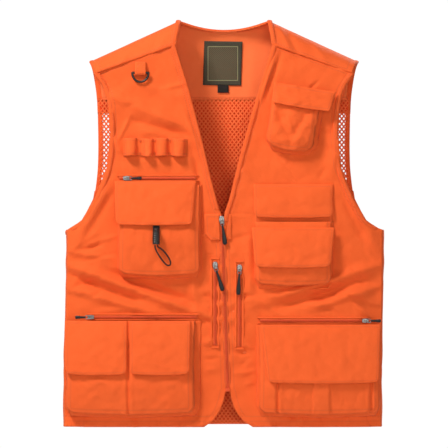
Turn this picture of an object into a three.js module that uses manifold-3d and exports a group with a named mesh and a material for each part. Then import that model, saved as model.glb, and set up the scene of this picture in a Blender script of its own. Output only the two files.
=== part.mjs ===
// Blaze orange utility vest, size L, hanging as worn. Millimetres, +Z up, the front faces -Y.
// Working frame: z = 0 at the hem, y = 0 on the shoulder ridge, x = 0 on the centre back.
import * as THREE from "three";
import { mergeVertices } from "three/addons/utils/BufferGeometryUtils.js";
import Module from "manifold-3d";

const wasm = await Module();
wasm.setup();

// ---- driving dimensions -------------------------------------------------
const FRONT_Y = -38; // outer face of the front fabric
const BACK_Y = 38; // outer face of the back fabric
const FABRIC = 2; // shell fabric, two layers
const GAP = 0.35; // clearance between touching pieces
const HALF_CHEST = 268; // half width of the body under the arms
const UNDERARM_Z = 338; // top of the side panels
const YOKE_SEAM_Z = 603; // front yoke seam at the armhole
const BACK_SEAM_Z = 560; // back yoke seam
const NECK_HALF = 76; // half width of the neck at the shoulder
const NECK_Z = 692; // top of the shoulder at the neck
const TIP_X = 226; // shoulder tip
const TIP_Z = 624;
const BIND = 8; // width of the bound edges
const HINGE_R = -34; // fold line of the right placket
const HINGE_L = 42; // fold line of the left placket
const ZIP_TOP = [-3.5, 346]; // centre line of the front zip, x and z
const ZIP_END = [6.5, 68];
const HANGER = [0, 24.5, 681]; // centre of the back neck edge

// ---- colours ------------------------------------------------------------
const ORANGE = [0xf2652c, 0.85, 0];
const MESH = [0xdc4a1e, 0.9, 0];
const BLACK = [0x14110f, 0.45, 0];
const STEEL = [0xb9b4ac, 0.3, 0.9];
const OLIVE = [0x4a4530, 0.8, 0];

const group = new THREE.Group();
group.position.set(-HANGER[0], -HANGER[1], -HANGER[2]);

// ---- helpers ------------------------------------------------------------
function node(name, geometry, finish) {
  const mesh = new THREE.Mesh(
    geometry,
    new THREE.MeshStandardMaterial({ color: finish[0], roughness: finish[1], metalness: finish[2] }),
  );
  mesh.name = name;
  group.add(mesh);
  return mesh;
}
function solid(geometry) {
  const g = geometry.clone();
  for (const key of Object.keys(g.attributes)) if (key !== "position") g.deleteAttribute(key);
  const m = mergeVertices(g, 1e-4);
  return new wasm.Manifold(
    new wasm.Mesh({ numProp: 3, vertProperties: new Float32Array(m.attributes.position.array), triVerts: new Uint32Array(m.index.array) }),
  );
}
function geometryOf(s) {
  const m = s.getMesh();
  const g = new THREE.BufferGeometry();
  const pos = new Float32Array(m.numVert * 3);
  for (let i = 0; i < m.numVert; i++) for (let k = 0; k < 3; k++) pos[i * 3 + k] = m.vertProperties[i * m.numProp + k];
  g.setAttribute("position", new THREE.BufferAttribute(pos, 3));
  g.setIndex(Array.from(m.triVerts));
  return g;
}
const cut = (a, ...bs) => geometryOf(bs.reduce((s, b) => s.subtract(solid(b)), solid(a)));
const join = (a, ...bs) => geometryOf(bs.reduce((s, b) => s.add(solid(b)), solid(a)));
function box(x0, x1, y0, y1, z0, z1) {
  return new THREE.BoxGeometry(x1 - x0, y1 - y0, z1 - z0).translate((x0 + x1) / 2, (y0 + y1) / 2, (z0 + z1) / 2);
}
// An outline in x and z, as a plate from y0 to y1.
function plate(points, y0, y1) {
  const g = new THREE.ExtrudeGeometry(new THREE.Shape(points.map((p) => new THREE.Vector2(p[0], p[1]))), { depth: y1 - y0, bevelEnabled: false, steps: 1 });
  return g.rotateX(Math.PI / 2).translate(0, y1, 0);
}
// A profile in y and z, as a bar from x0 to x1.
function bar(points, x0, x1) {
  const g = new THREE.ExtrudeGeometry(new THREE.Shape(points.map((p) => new THREE.Vector2(p[0], p[1]))), { depth: x1 - x0, bevelEnabled: false, steps: 1 });
  const m = new THREE.Matrix4().makeBasis(new THREE.Vector3(0, 1, 0), new THREE.Vector3(0, 0, 1), new THREE.Vector3(1, 0, 0));
  return g.applyMatrix4(m).translate(x0, 0, 0);
}
// A closed sheet between two grids of points, a ring when cyclic.
function sheet(A, B, cyclic = false) {
  const n = A.length, m = A[0].length, v = [], id = (s, i, j) => s * n * m + (i % n) * m + j, t = [];
  for (const G of [A, B]) for (const row of G) for (const p of row) v.push(...p);
  const quad = (a, b, c, d) => t.push(a, b, c, a, c, d);
  const rows = cyclic ? n : n - 1;
  for (let i = 0; i < rows; i++)
    for (let j = 0; j < m - 1; j++) {
      quad(id(0, i, j), id(0, i + 1, j), id(0, i + 1, j + 1), id(0, i, j + 1));
      quad(id(1, i, j), id(1, i, j + 1), id(1, i + 1, j + 1), id(1, i + 1, j));
    }
  for (let i = 0; i < rows; i++) {
    quad(id(0, i, 0), id(1, i, 0), id(1, i + 1, 0), id(0, i + 1, 0));
    quad(id(0, i, m - 1), id(0, i + 1, m - 1), id(1, i + 1, m - 1), id(1, i, m - 1));
  }
  if (!cyclic)
    for (let j = 0; j < m - 1; j++) {
      quad(id(0, 0, j), id(0, 0, j + 1), id(1, 0, j + 1), id(1, 0, j));
      quad(id(0, n - 1, j), id(1, n - 1, j), id(1, n - 1, j + 1), id(0, n - 1, j + 1));
    }
  let vol = 0;
  const V = (i) => new THREE.Vector3(v[i * 3], v[i * 3 + 1], v[i * 3 + 2]);
  for (let k = 0; k < t.length; k += 3) vol += V(t[k]).dot(V(t[k + 1]).cross(V(t[k + 2])));
  if (vol < 0) for (let k = 0; k < t.length; k += 3) [t[k + 1], t[k + 2]] = [t[k + 2], t[k + 1]];
  const g = new THREE.BufferGeometry();
  g.setAttribute("position", new THREE.BufferAttribute(new Float32Array(v), 3));
  g.setIndex(t);
  return g;
}
// A grid pushed along its own normals.
function pushed(G, d) {
  const n = G.length, m = G[0].length, P = (i, j) => new THREE.Vector3(...G[Math.max(0, Math.min(n - 1, i))][Math.max(0, Math.min(m - 1, j))]);
  return G.map((row, i) => row.map((p, j) => {
    const a = P(i + 1, j).sub(P(i - 1, j)), b = P(i, j + 1).sub(P(i, j - 1)), k = a.cross(b).normalize().multiplyScalar(d);
    return [p[0] + k.x, p[1] + k.y, p[2] + k.z];
  }));
}
// Moves an open outline sideways by d, to its left.
function offset(points, d) {
  return points.map((p, i) => {
    const a = points[Math.max(0, i - 1)], b = points[Math.min(points.length - 1, i + 1)];
    const dx = b[0] - a[0], dz = b[1] - a[1], l = Math.hypot(dx, dz);
    return [p[0] - (dz / l) * d, p[1] + (dx / l) * d];
  });
}
function smooth(points, n) {
  return new THREE.CatmullRomCurve3(points.map((p) => new THREE.Vector3(p[0], p.length > 2 ? p[1] : 0, p[p.length - 1])), false, "centripetal")
    .getPoints(n).map((q) => (points[0].length > 2 ? [q.x, q.y, q.z] : [q.x, q.z]));
}
const mirror = (points, s) => points.map((p) => [p[0] * s, ...p.slice(1)]);
const lerp = (a, b, t) => a + (b - a) * t;
const zipX = (z) => lerp(ZIP_TOP[0], ZIP_END[0], (ZIP_TOP[1] - z) / (ZIP_TOP[1] - ZIP_END[1]));

// ---- body outlines (right half, mirrored for the left) -------------------
const ARM_FRONT = smooth([[-219, 603], [-205, 578], [-197, 550], [-193.5, 500], [-199, 444], [-219, 392], [-243, 352], [-266, UNDERARM_Z]], 16);
const ARM_BACK = smooth([[-222, 560], [-218, 520], [-217, 470], [-219, 430], [-226, 390], [-244, 355], [-266, UNDERARM_Z]], 14);
const V_EDGE = { R: [[-82.5, 651], [-80, 643], [-59, 575], [-37, 490], [-34, 478]], L: [[82, 651], [77, 633], [48.5, 540], [42, 515]] };
const V_LOW = { R: [[-34, 478], [-22, 425], [-10, 376]], L: [[42, 515], [26.5, 461], [11, 398], [7.5, 384]] };

for (const side of ["R", "L"]) {
  const s = side === "R" ? 1 : -1, name = side === "R" ? "right" : "left", hinge = side === "R" ? HINGE_R : HINGE_L, out = side === "R" ? -1 : 1;
  // front panel, inset where an edge is bound
  const arm = mirror(ARM_FRONT, s), neck = V_EDGE[side];
  const armIn = offset(arm, side === "R" ? BIND + 1.4 : -(BIND + 1.4));
  const neckIn = offset(neck, side === "R" ? -(BIND + 1.6) : BIND + 1.6);
  armIn[0] = [armIn[0][0] - out * 1.5, YOKE_SEAM_Z - GAP];
  const topNeck = [neckIn[0][0], 651 - GAP];
  const panel = [topNeck, ...armIn.slice(0, -1), [out * 266, UNDERARM_Z - BIND - GAP], [out * 266, 1.5], [hinge + out * GAP, 1.5], [hinge + out * GAP, neckIn.at(-1)[1] - 8], ...neckIn.slice(1).reverse()];
  node(`${name}_front_panel`, plate(panel, FRONT_Y, FRONT_Y + FABRIC), ORANGE);

  // front yoke: a curved sheet from the shoulder ridge to the yoke seam
  const cols = 12, rows = 6, Y = [];
  for (let i = 0; i <= cols; i++) {
    const t = i / cols, row = [];
    const xr = lerp(NECK_HALF + BIND + 2.4, TIP_X - BIND - 3, t), zr = lerp(NECK_Z - 3, TIP_Z + 1.5, t);
    const xs = lerp(Math.abs(topNeck[0]), Math.abs(armIn[0][0]), t), zs = lerp(651, YOKE_SEAM_Z, t);
    for (let j = 0; j <= rows; j++) {
      const v = (j / rows) * (Math.PI / 2);
      row.push([out * lerp(xr, xs, j / rows), -0.4 + (FRONT_Y + 0.4) * Math.sin(v), zr + (zs + GAP - zr) * (1 - Math.cos(v))]);
    }
    Y.push(row);
  }
  node(`${name}_front_yoke`, sheet(Y, pushed(Y, side === "R" ? -FABRIC : FABRIC).map((r, i) => r.map((p, j) => (j === 0 ? [p[0], -0.4, p[2]] : j === rows ? [p[0], p[1], Y[i][j][2]] : p)))), ORANGE);

  // side panel: joins front and back below the armhole
  const ring = [];
  for (const z of [1.5, UNDERARM_Z - BIND - GAP]) {
    const row = [];
    for (let k = 0; k <= 8; k++) { const a = -Math.PI / 2 + (k / 8) * Math.PI; row.push([out * (266 + GAP + 6.5 * Math.cos(a)), (BACK_Y) * Math.sin(a), z]); }
    ring.push(row);
  }
  node(`${name}_side_panel`, sheet(ring, ring.map((r) => r.map((p) => [out * Math.max(266 + GAP, Math.abs(p[0]) - FABRIC), p[1] * (1 - FABRIC / BACK_Y), p[2]]))), ORANGE);

  // armhole binding: one ring round the armhole
  const loop = [], inner = [];
  const mid = (p, q) => [(p[0] + q[0]) / 2, (p[1] + q[1]) / 2];
  const A = mirror(ARM_FRONT, s), Ai = offset(A, side === "R" ? BIND : -BIND), B = mirror(ARM_BACK, s), Bi = offset(B, side === "R" ? BIND : -BIND);
  const add = (a, b, y) => { loop.push([a[0], y, a[1]]); inner.push([b[0], y, b[1]]); };
  for (let k = 0; k <= 6; k++) {
    const v = ((6 - k) / 6) * (Math.PI / 2), v2 = k / 6;
    void v2;
    add([out * lerp(TIP_X, 219, 1 - k / 6), lerp(TIP_Z, YOKE_SEAM_Z, 1 - Math.cos(v))], [out * (lerp(TIP_X, 219, 1 - k / 6) - BIND), lerp(TIP_Z + 3, YOKE_SEAM_Z + 2, 1 - Math.cos(v))], FRONT_Y * Math.sin(v));
  }
  for (let k = 1; k <= 8; k++) {
    const v = (k / 8) * (Math.PI / 2);
    add([out * lerp(TIP_X, 222, k / 8), k <= 4 ? lerp(TIP_Z, 600, 1 - Math.cos((k / 4) * (Math.PI / 2))) : lerp(600, 560, (k - 4) / 4)], [out * (lerp(TIP_X, 222, k / 8) - BIND), k <= 4 ? lerp(TIP_Z + 3, 602, 1 - Math.cos((k / 4) * (Math.PI / 2))) : lerp(602, 561, (k - 4) / 4)], BACK_Y * Math.min(1, Math.sin(Math.min(1, k / 4) * (Math.PI / 2))));
  }
  B.slice(1, -1).forEach((p, i) => add(p, Bi[i + 1], BACK_Y));
  for (let k = 0; k <= 6; k++) { const a = Math.PI / 2 - (k / 6) * Math.PI; add([out * (266 + 7 * Math.cos(a)), UNDERARM_Z], [out * (266 + 7 * Math.cos(a)), UNDERARM_Z - BIND], BACK_Y * Math.sin(a)); }
  A.slice(1, -1).reverse().forEach((p, i) => add(p, Ai[A.length - 2 - i], FRONT_Y));
  const ringA = loop.map((p, i) => [p, inner[i]]);
  const n = ringA.length;
  const ringB = ringA.map((r, i) => {
    const p = new THREE.Vector3(...ringA[(i + 1) % n][0]).sub(new THREE.Vector3(...ringA[(i - 1 + n) % n][0]));
    const w = new THREE.Vector3(...r[1]).sub(new THREE.Vector3(...r[0]));
    const k = p.cross(w).normalize().multiplyScalar(side === "R" ? 2.2 : -2.2);
    return r.map((q) => [q[0] + k.x, q[1] + k.y, q[2] + k.z]);
  });
  node(`${name}_armhole_binding`, sheet(ringA, ringB, true), ORANGE);
}

// ---- back ---------------------------------------------------------------
const armBack = offset(ARM_BACK, BIND + 1.6).slice(0, -1);
const halfBack = [...armBack, [-266, UNDERARM_Z - BIND - GAP], [-266, 1.5]];
const wing = armBack.map((p) => (p[1] > 404 && p[1] < 537 ? [-150, p[1]] : p));
const notchFix = [];
wing.forEach((p, i) => {
  const q = wing[i - 1];
  if (q && (q[0] === -150) !== (p[0] === -150)) notchFix.push(p[0] === -150 ? [-150, 537] : [-150, 404], p[0] === -150 ? null : [-211, 404]);
  if (q && p[0] === -150 && q[0] !== -150) notchFix.splice(notchFix.length - 2, 0, [-206, 537]);
  notchFix.push(p);
});
const halfShell = [...notchFix.filter(Boolean), [-266, UNDERARM_Z - BIND - GAP], [-266, 1.5]];
halfShell[0] = [halfShell[0][0], BACK_SEAM_Z - GAP];
const both = (h) => [...h, ...mirror(h, -1).reverse()];
node("back_panel", plate(both(halfShell), BACK_Y - FABRIC, BACK_Y), ORANGE);
const meshHalf = [[-212, 556], ...armBack.slice(1, -1).map((p) => [p[0] + 1, p[1]]), [-262, UNDERARM_Z - BIND - 4], [-262, 5]];
node("back_mesh_lining", plate(both(meshHalf), BACK_Y - FABRIC - 1.8, BACK_Y - FABRIC - GAP), MESH);

const topOf = (x) => {
  const a = Math.abs(x);
  return a < NECK_HALF ? { y: HANGER[1] * (1 - (a / NECK_HALF) ** 2), z: HANGER[2] + (NECK_Z - HANGER[2]) * (a / NECK_HALF) ** 2 } : { y: 0, z: lerp(NECK_Z, TIP_Z, (a - NECK_HALF) / (TIP_X - NECK_HALF)) };
};
// A yoke sheet: x limits at the top and the bottom, its depth inside the outer face, its bottom edge.
function yokeGrid(half, low, inset, drop, zLow) {
  const G = [], cols = 28, rows = 9;
  for (let i = 0; i <= cols; i++) {
    const t = (i / cols) * 2 - 1, row = [], x = half * t, c = topOf(x), e = Math.max(0, 1 - Math.abs(x) / (NECK_HALF + 14)), low0 = drop + 8 * Math.min(1, 5 * e), y0 = Math.max(0.4, c.y + 3 * e - inset * 0.6), y1 = BACK_Y - inset, h = Math.min(42, c.z - zLow - 10);
    for (let j = 0; j <= rows; j++) {
      const u = j / rows;
      const bend = Math.min(1, u / 0.6) * (Math.PI / 2);
      const z = u <= 0.6 ? c.z - low0 - h * (1 - Math.cos(bend)) : lerp(c.z - low0 - h, zLow, (u - 0.6) / 0.4);
      row.push([lerp(x, low * t, u), y0 + (y1 - y0) * Math.sin(bend), z]);
    }
    G.push(row);
  }
  return G;
}
const flatEdges = (A, B, z0) => B.map((r, i) => r.map((p, j) => (j === 0 ? [p[0], Math.max(0.4, p[1]), p[2]] : j === r.length - 1 ? [p[0], p[1], z0] : p)));
const outer = yokeGrid(TIP_X - BIND - 3, 222 - BIND - 3, 0, 3.5, BACK_SEAM_Z + GAP);
node("back_yoke", sheet(outer, flatEdges(outer, pushed(outer, FABRIC), BACK_SEAM_Z + GAP)), ORANGE);
const lining = yokeGrid(TIP_X - BIND - 6, 206, 4.6, 7, BACK_SEAM_Z + GAP);
node("back_yoke_lining", sheet(lining, flatEdges(lining, pushed(lining, 1.2), BACK_SEAM_Z + GAP)), ORANGE);

// neck binding: from the right V edge round the back neck to the left V edge
{
  const P = [], Q = [];
  const put = (p, q) => { P.push(p); Q.push(q); };
  const R = V_EDGE.R, Ri = offset(R, -BIND), L = V_EDGE.L, Li = offset(L, BIND);
  for (let i = R.length - 1; i >= 0; i--) put([R[i][0], FRONT_Y, R[i][1]], [Ri[i][0], FRONT_Y, Ri[i][1]]);
  for (let k = 5; k >= 1; k--) { const v = (k / 6) * (Math.PI / 2); const z = lerp(NECK_Z, 651, 1 - Math.cos(v)); put([-lerp(NECK_HALF, 82.5, k / 6), FRONT_Y * Math.sin(v), z], [-lerp(NECK_HALF, 82.5, k / 6) - BIND, FRONT_Y * Math.sin(v), z - 2]); }
  for (let k = 0; k <= 16; k++) { const x = lerp(-NECK_HALF, NECK_HALF, k / 16), c = topOf(x), e = 1 - Math.abs(x) / NECK_HALF; put([x, c.y, c.z], [x * (1 + (BIND / NECK_HALF) * (1 - e) ** 2), c.y + 3.5 * e, c.z - lerp(2.6, BIND - 1.5, Math.min(1, e * 2))]); }
  for (let k = 1; k <= 5; k++) { const v = (k / 6) * (Math.PI / 2); const z = lerp(NECK_Z, 651, 1 - Math.cos(v)); put([lerp(NECK_HALF, 82, k / 6), FRONT_Y * Math.sin(v), z], [lerp(NECK_HALF, 82, k / 6) + BIND, FRONT_Y * Math.sin(v), z - 2]); }
  for (let i = 0; i < L.length; i++) put([L[i][0], FRONT_Y, L[i][1]], [Li[i][0], FRONT_Y, Li[i][1]]);
  const G = P.map((p, i) => [p, Q[i]]);
  const H = pushed(G, 2.4);
  const test = H[0][0][1] > G[0][0][1];
  node("neck_binding", sheet(G, test ? H : pushed(G, -2.4)), ORANGE);
}
// label and size tab on the yoke lining
{
  const g = join(plate([[-36, 583], [30, 583], [32, 656], [-34, 656]], 27.2, 28.4), box(-11.5, 7.5, 27.2, 28.2, 569.5, 583.5)), p = g.attributes.position;
  for (let i = 0; i < p.count; i++) p.setY(i, p.getY(i) + (656 - p.getZ(i)) * 0.042); // lies along the lining
  node("label_patch", g, OLIVE);
}

// ---- front plackets -----------------------------------------------------
const zr = (z, d) => [zipX(z) + d, z];
{
  const inner = offset(V_LOW.R, -(BIND * 0 + 0.01));
  const right = [[HINGE_R, 1.5], [-36 + 2.5, 1.5], [-20, 6], [-6, 22], [2, 44], zr(66, -5.4), zr(340, -5.4), [-9, 374], ...inner.slice(0, -1).reverse().map((p) => [p[0], p[1]])];
  right[right.length - 1] = [HINGE_R, 474];
  node("right_placket", plate(right, FRONT_Y, FRONT_Y + FABRIC), ORANGE);
  const left = [[HINGE_L, 1.5], [HINGE_L, 511], [26.5, 457], [14, 404], [9, 384], [9, 346], zr(345, 5.4), zr(66, 5.4), [15, 44], [20, 30], [30, 13.6], [39, 1.5]];
  node("left_placket", plate(left, FRONT_Y, FRONT_Y + FABRIC), ORANGE);
}
// front zip: a tape with its coil on each front, boxes at the foot
const ZIP_T = Math.atan2(ZIP_END[0] - ZIP_TOP[0], ZIP_TOP[1] - ZIP_END[1]); // lean of the zip
node("main_zip_right", join(plate([zr(66, -5), zr(66, -0.7), zr(345, -0.7), zr(345, -5)], FRONT_Y - 0.2, FRONT_Y + 1.4), plate([zr(62, -4.6), zr(62, 4.2), zr(68.5, 4.2), zr(68.5, -4.6)], FRONT_Y - 1.6, FRONT_Y + 2.6)), STEEL);
node("main_zip_left", plate([zr(69.2, 0.7), zr(69.2, 5), zr(340, 5), zr(340, 0.7)], FRONT_Y - 0.2, FRONT_Y + 1.4), MESH);
// slider: two plates joined by a post that runs in the gap between the coils
const SL = { z: 347, h: 13, w: 3.7 };
{
  const z0 = SL.z, z1 = SL.z + SL.h;
  const front = plate([zr(z0, -SL.w), zr(z0, SL.w), zr(z1, SL.w + 0.6), zr(z1, -SL.w - 0.6)], FRONT_Y - 2.6, FRONT_Y - 0.8);
  const rear = plate([zr(z0, -SL.w), zr(z0, SL.w), zr(z1, SL.w + 0.6), zr(z1, -SL.w - 0.6)], FRONT_Y + 2.2, FRONT_Y + 3.6);
  const post = box(zipX(z1 - 4) - 0.35, zipX(z1 - 4) + 0.35, FRONT_Y - 1.5, FRONT_Y + 3, z1 - 6, z1 - 1);
  const eye = box(zipX(z0 + 7) - 1.2, zipX(z0 + 7) + 1.2, FRONT_Y - 5.4, FRONT_Y - 2.0, z0 + 8.6, z0 + 10.2);
  node("main_zip_slider", join(front, rear, post, eye), STEEL);
}
// A zip pull hung from a point: a wire link and a moulded grip, leaning by t.
function pull(x, y, z, length, lean, wide = 5.2) {
  const link = new THREE.TorusGeometry(3.4, 0.75, 6, 14).rotateX(Math.PI / 2).scale(0.8, 1, 1.5).translate(0, 0, -4.4);
  const grip = plate([[-1.3, -8.2], [-wide / 2, -length + 3], [-wide / 2 + 0.8, -length], [wide / 2 - 0.8, -length], [wide / 2, -length + 3], [1.3, -8.2]], -1.3, 1.3);
  return join(link, grip).rotateY(lean).translate(x, y, z);
}
node("main_zip_pull", pull(zipX(354), FRONT_Y - 4.6, 353.4, 42, 0.14), BLACK);
// closing tab across the zip, cut at the slider's path
node("zip_tab", plate([[-33.4, 363], [-8.8, 363], [zipX(320) - 4.9, 319.5], [-21, 318], [-33.4, 332]], FRONT_Y - 1.6, FRONT_Y - GAP), ORANGE);
node("zip_tab_base", plate([[9.4, 363], [11.4, 363], [11.4, 320], [zipX(320) + 4.9, 320], [zipX(340) + 4.9, 344], [9.4, 344]], FRONT_Y - 1.6, FRONT_Y - GAP), ORANGE);

// vertical zip pockets on the plackets
for (const [side, x, top, low, lean] of [["right", -15, 284, 141, 0.3], ["left", 26.5, 279, 138.5, -0.05]]) {
  const coil = plate([[x - 3.6, low], [x + 3.6, low], [x + 3.6, top], [x - 3.6, top]], FRONT_Y - 1.4, FRONT_Y - GAP);
  const welt = plate([[x - 7, low - 5], [x + 7, low - 5], [x + 7, low + 0.5], [x - 7, low + 0.5]], FRONT_Y - 1.4, FRONT_Y - GAP);
  node(`${side}_vertical_zip`, join(coil, welt), MESH);
  const s0 = top - 14, s1 = top - 2;
  node(`${side}_vertical_slider`, join(box(x - 3.4, x + 3.4, FRONT_Y - 3.8, FRONT_Y - 1.8, s0, s1), box(x - 1.1, x + 1.1, FRONT_Y - 6.6, FRONT_Y - 3, s0 + 7.6, s0 + 9.2)), STEEL);
  node(`${side}_vertical_pull`, pull(x, FRONT_Y - 5.8, s0 + 5.4, 44, lean), BLACK);
}

// ---- pockets ------------------------------------------------------------
const BAG = FRONT_Y - GAP; // the plane that the pockets are sewn to
// A wedge bag, open at its top: x limits, z limits, depth at top and bottom, wall.
function bag(x0, x1, z0, z1, dTop, dLow, wall = 1.6) {
  const prof = (d) => [[BAG, z0 + d], [BAG, z1 + (d ? 5 : 0)], [BAG - dTop + d, z1 + (d ? 5 : 0)], [BAG - dLow + d, z0 + 10 + d], [BAG - dLow + 5 + d * 0.6, z0 + d]];
  const outerS = bar(prof(0), x0, x1);
  const hollow = bar(prof(wall).map((p, i) => (i < 2 ? [p[0] - wall, p[1]] : p)), x0 + wall, x1 - wall);
  return cut(outerS, hollow);
}
// A flap: hangs from its top edge, leans forward by its end, rounded lower corners.
function flap(outline, dTop, dEnd, thick = 1.8) {
  const g = plate(outline, 0, thick), p = g.attributes.position;
  const zs = outline.map((q) => q[1]), zT = Math.max(...zs), zB = Math.min(...zs);
  for (let i = 0; i < p.count; i++) p.setY(i, p.getY(i) - thick + BAG - lerp(dTop, dEnd, (zT - p.getZ(i)) / (zT - zB)));
  p.needsUpdate = true;
  return g;
}
const rounded = (x0, x1, z0, z1, r = 5, taper = 0) => [[x0, z1], [x0 + taper, z0 + r], [x0 + taper + r * 0.3, z0 + r * 0.3], [x0 + taper + r, z0], [x1 - taper - r, z0], [x1 - taper - r * 0.3, z0 + r * 0.3], [x1 - taper, z0 + r], [x1, z1]];
// A coil zip along the top edge, its slider and its pull.
function topZip(name, x0, x1, z, sliderX, pullDir, d) {
  node(`${name}_zip`, box(x0, x1, BAG - d - 1.2, BAG, z - 2.6, z + 2.6), MESH);
  const y = BAG - d - 1.6;
  node(`${name}_slider`, join(box(sliderX - 5, sliderX + 5, y - 1.8, y, z - 3, z + 3), box(sliderX - 0.8 - pullDir * 2, sliderX + 0.8 - pullDir * 2, y - 4.8, y - 1.2, z - 1.1, z + 1.1)), STEEL);
  const p = pull(0, 0, 0, 26, 0, 4.4).rotateY(pullDir < 0 ? Math.PI / 2 : -Math.PI / 2).translate(sliderX + pullDir * 0.5, y - 3.9, z);
  node(`${name}_pull`, p, BLACK);
}

// right chest pocket
node("right_chest_pocket", bag(-181, -38, 257, 412, 9, 27), ORANGE);
node("right_chest_flap", flap(rounded(-186, -47, 346, 418.5, 5, 2), 10.4, 21), ORANGE);
topZip("right_chest", -176, -47, 424.5, -166, 1, 3);
// cord lock on its tab, under the flap edge
const LOCK = { x: -114.5, z: 331, y: BAG - 28.5 };
node("cord_lock_tab", plate([[LOCK.x - 6, 318], [LOCK.x + 6, 318], [LOCK.x + 6, 344], [LOCK.x - 6, 344]], BAG - 24.0, BAG - 22.8), BLACK);
// small pocket on the left chest, tilted
const TILT = Math.PI * (9.2 / 180);
const turn = (g, cx, cz) => g.translate(-cx, 0, -cz).rotateY(TILT).translate(cx, 0, cz);
node("small_pocket", turn(bag(80, 176, 466, 571, 9, 22), 83.5, 587.4), ORANGE);
node("small_pocket_flap", turn(flap(rounded(82, 188, 551, 586, 3, 1), 10.4, 14.5), 83.5, 587.4), ORANGE);
// left middle pocket with two flaps
node("mid_pocket", join(bag(50, 184, 240, 352, 9, 26), box(52, 184, BAG - 3, BAG, 351, 412)), ORANGE);
node("mid_pocket_upper_flap", flap(rounded(50, 186.5, 359, 413.5, 5, 0.5), 4.2, 8.5), ORANGE);
node("mid_pocket_lower_flap", flap(rounded(47, 188, 274, 340, 5, 3), 12.6, 23.6), ORANGE);
// right lower pocket, two flaps side by side
node("right_lower_pocket", bag(-265, -39, 22, 180, 9, 30), ORANGE);
node("right_lower_flap_a", flap(rounded(-265.5, -163.5, 92.5, 181.5, 5, 1), 10.4, 24.2), ORANGE);
node("right_lower_flap_b", flap(rounded(-160.5, -57, 92.5, 181.5, 5, 1), 10.4, 24.2), ORANGE);
topZip("right_lower", -224, -46, 188.5, -226, -1, 3);
// left lower pocket, one wide flap over a box pleat
node("left_lower_pocket", join(bag(54, 264, 22, 173, 9, 30), box(151, 179, BAG - 31.4, BAG - 29.2, 32, 76)), ORANGE);
node("left_lower_flap", flap([[61, 175.5], [68, 86], [74, 80], [252, 77], [258, 82], [262, 175.5]], 10.4, 25.4), ORANGE);
topZip("left_lower", 62, 238, 182.5, 240, 1, 3);

// ---- chest fittings -----------------------------------------------------
// four sewn loops in a row
{
  const strip = box(-169, -64, BAG - 1.6, BAG, 462, 492);
  const loops = [[-168, -149], [-136, -121], [-114.5, -96], [-87.5, -67]].map(([a, b]) => {
    const w = b - a, h = 11, pts = [], ins = [];
    for (let k = 0; k <= 8; k++) { const t = Math.PI * (k / 8); pts.push([(a + b) / 2 + (w / 2) * Math.cos(t), BAG - 1 - h * Math.sin(t)]); ins.push([(a + b) / 2 + (w / 2 - 1.4) * Math.cos(t), BAG - 1 - (h - 1.4) * Math.sin(t)]); }
    const g = new THREE.ExtrudeGeometry(new THREE.Shape([...pts, ...ins.reverse()].map((p) => new THREE.Vector2(p[0], p[1]))), { depth: 29, bevelEnabled: false });
    return g.translate(0, 0, 462.5);
  });
  node("utility_loops", join(strip, ...loops), ORANGE);
}
// D-ring and its tab
{
  const arc = (r, z0) => Array.from({ length: 13 }, (_, k) => [-r * Math.cos((k * Math.PI) / 12), Math.min(z0, -1.1 * r * Math.sin((k * Math.PI) / 12))]);
  const ringGeo = cut(plate([...arc(15.6, 0), [15.6, 1.9], [-15.6, 1.9]], -1.8, 1.8), plate(arc(11.8, -1.9), -5, 5));
  node("d_ring", ringGeo.translate(-142, FRONT_Y - 6.2, 603.5), BLACK);
  const tab = cut(box(-151.5, -132.5, FRONT_Y - 10.2, FRONT_Y - GAP, 598.6, 622), box(-152, -132, FRONT_Y - 9.0, FRONT_Y - 3.4, 600.7, 606.3));
  node("d_ring_tab", tab, ORANGE);
}
// cord lock: barrel, plunger and the cord loop
{
  node("cord_lock_barrel", cut(new THREE.CylinderGeometry(6.5, 6.2, 22, 14).rotateX(Math.PI / 2).translate(LOCK.x, LOCK.y - 3.2, 323), new THREE.CylinderGeometry(4.3, 4.3, 14, 12).rotateX(Math.PI / 2).translate(LOCK.x, LOCK.y - 3.2, 329.5)), BLACK);
  node("cord_lock_plunger", new THREE.CylinderGeometry(3.9, 3.9, 12, 12).rotateX(Math.PI / 2).translate(LOCK.x, LOCK.y - 3.2, 333), BLACK);
}
// cord loop below the lock: one closed round of cord, open at the lock
{
  const y = LOCK.y - 3.2;
  const path = new THREE.CatmullRomCurve3([[-116.3, 311.3], [-116.3, 307], [-113, 299], [-106, 288], [-99.5, 280], [-94, 276.5], [-90.3, 279], [-91.5, 286], [-97.5, 296], [-105, 304], [-112.5, 309.2 - 0.4], [-112.5, 311.3]].map(([x, z]) => new THREE.Vector3(x, y, z)));
  const ring8 = new THREE.Shape(Array.from({ length: 8 }, (_, k) => new THREE.Vector2(1.3 * Math.cos((k * Math.PI) / 4), 1.3 * Math.sin((k * Math.PI) / 4))));
  node("cord_loop", new THREE.ExtrudeGeometry(ring8, { extrudePath: path, steps: 36, bevelEnabled: false }), BLACK);
}

export default group;
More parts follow.
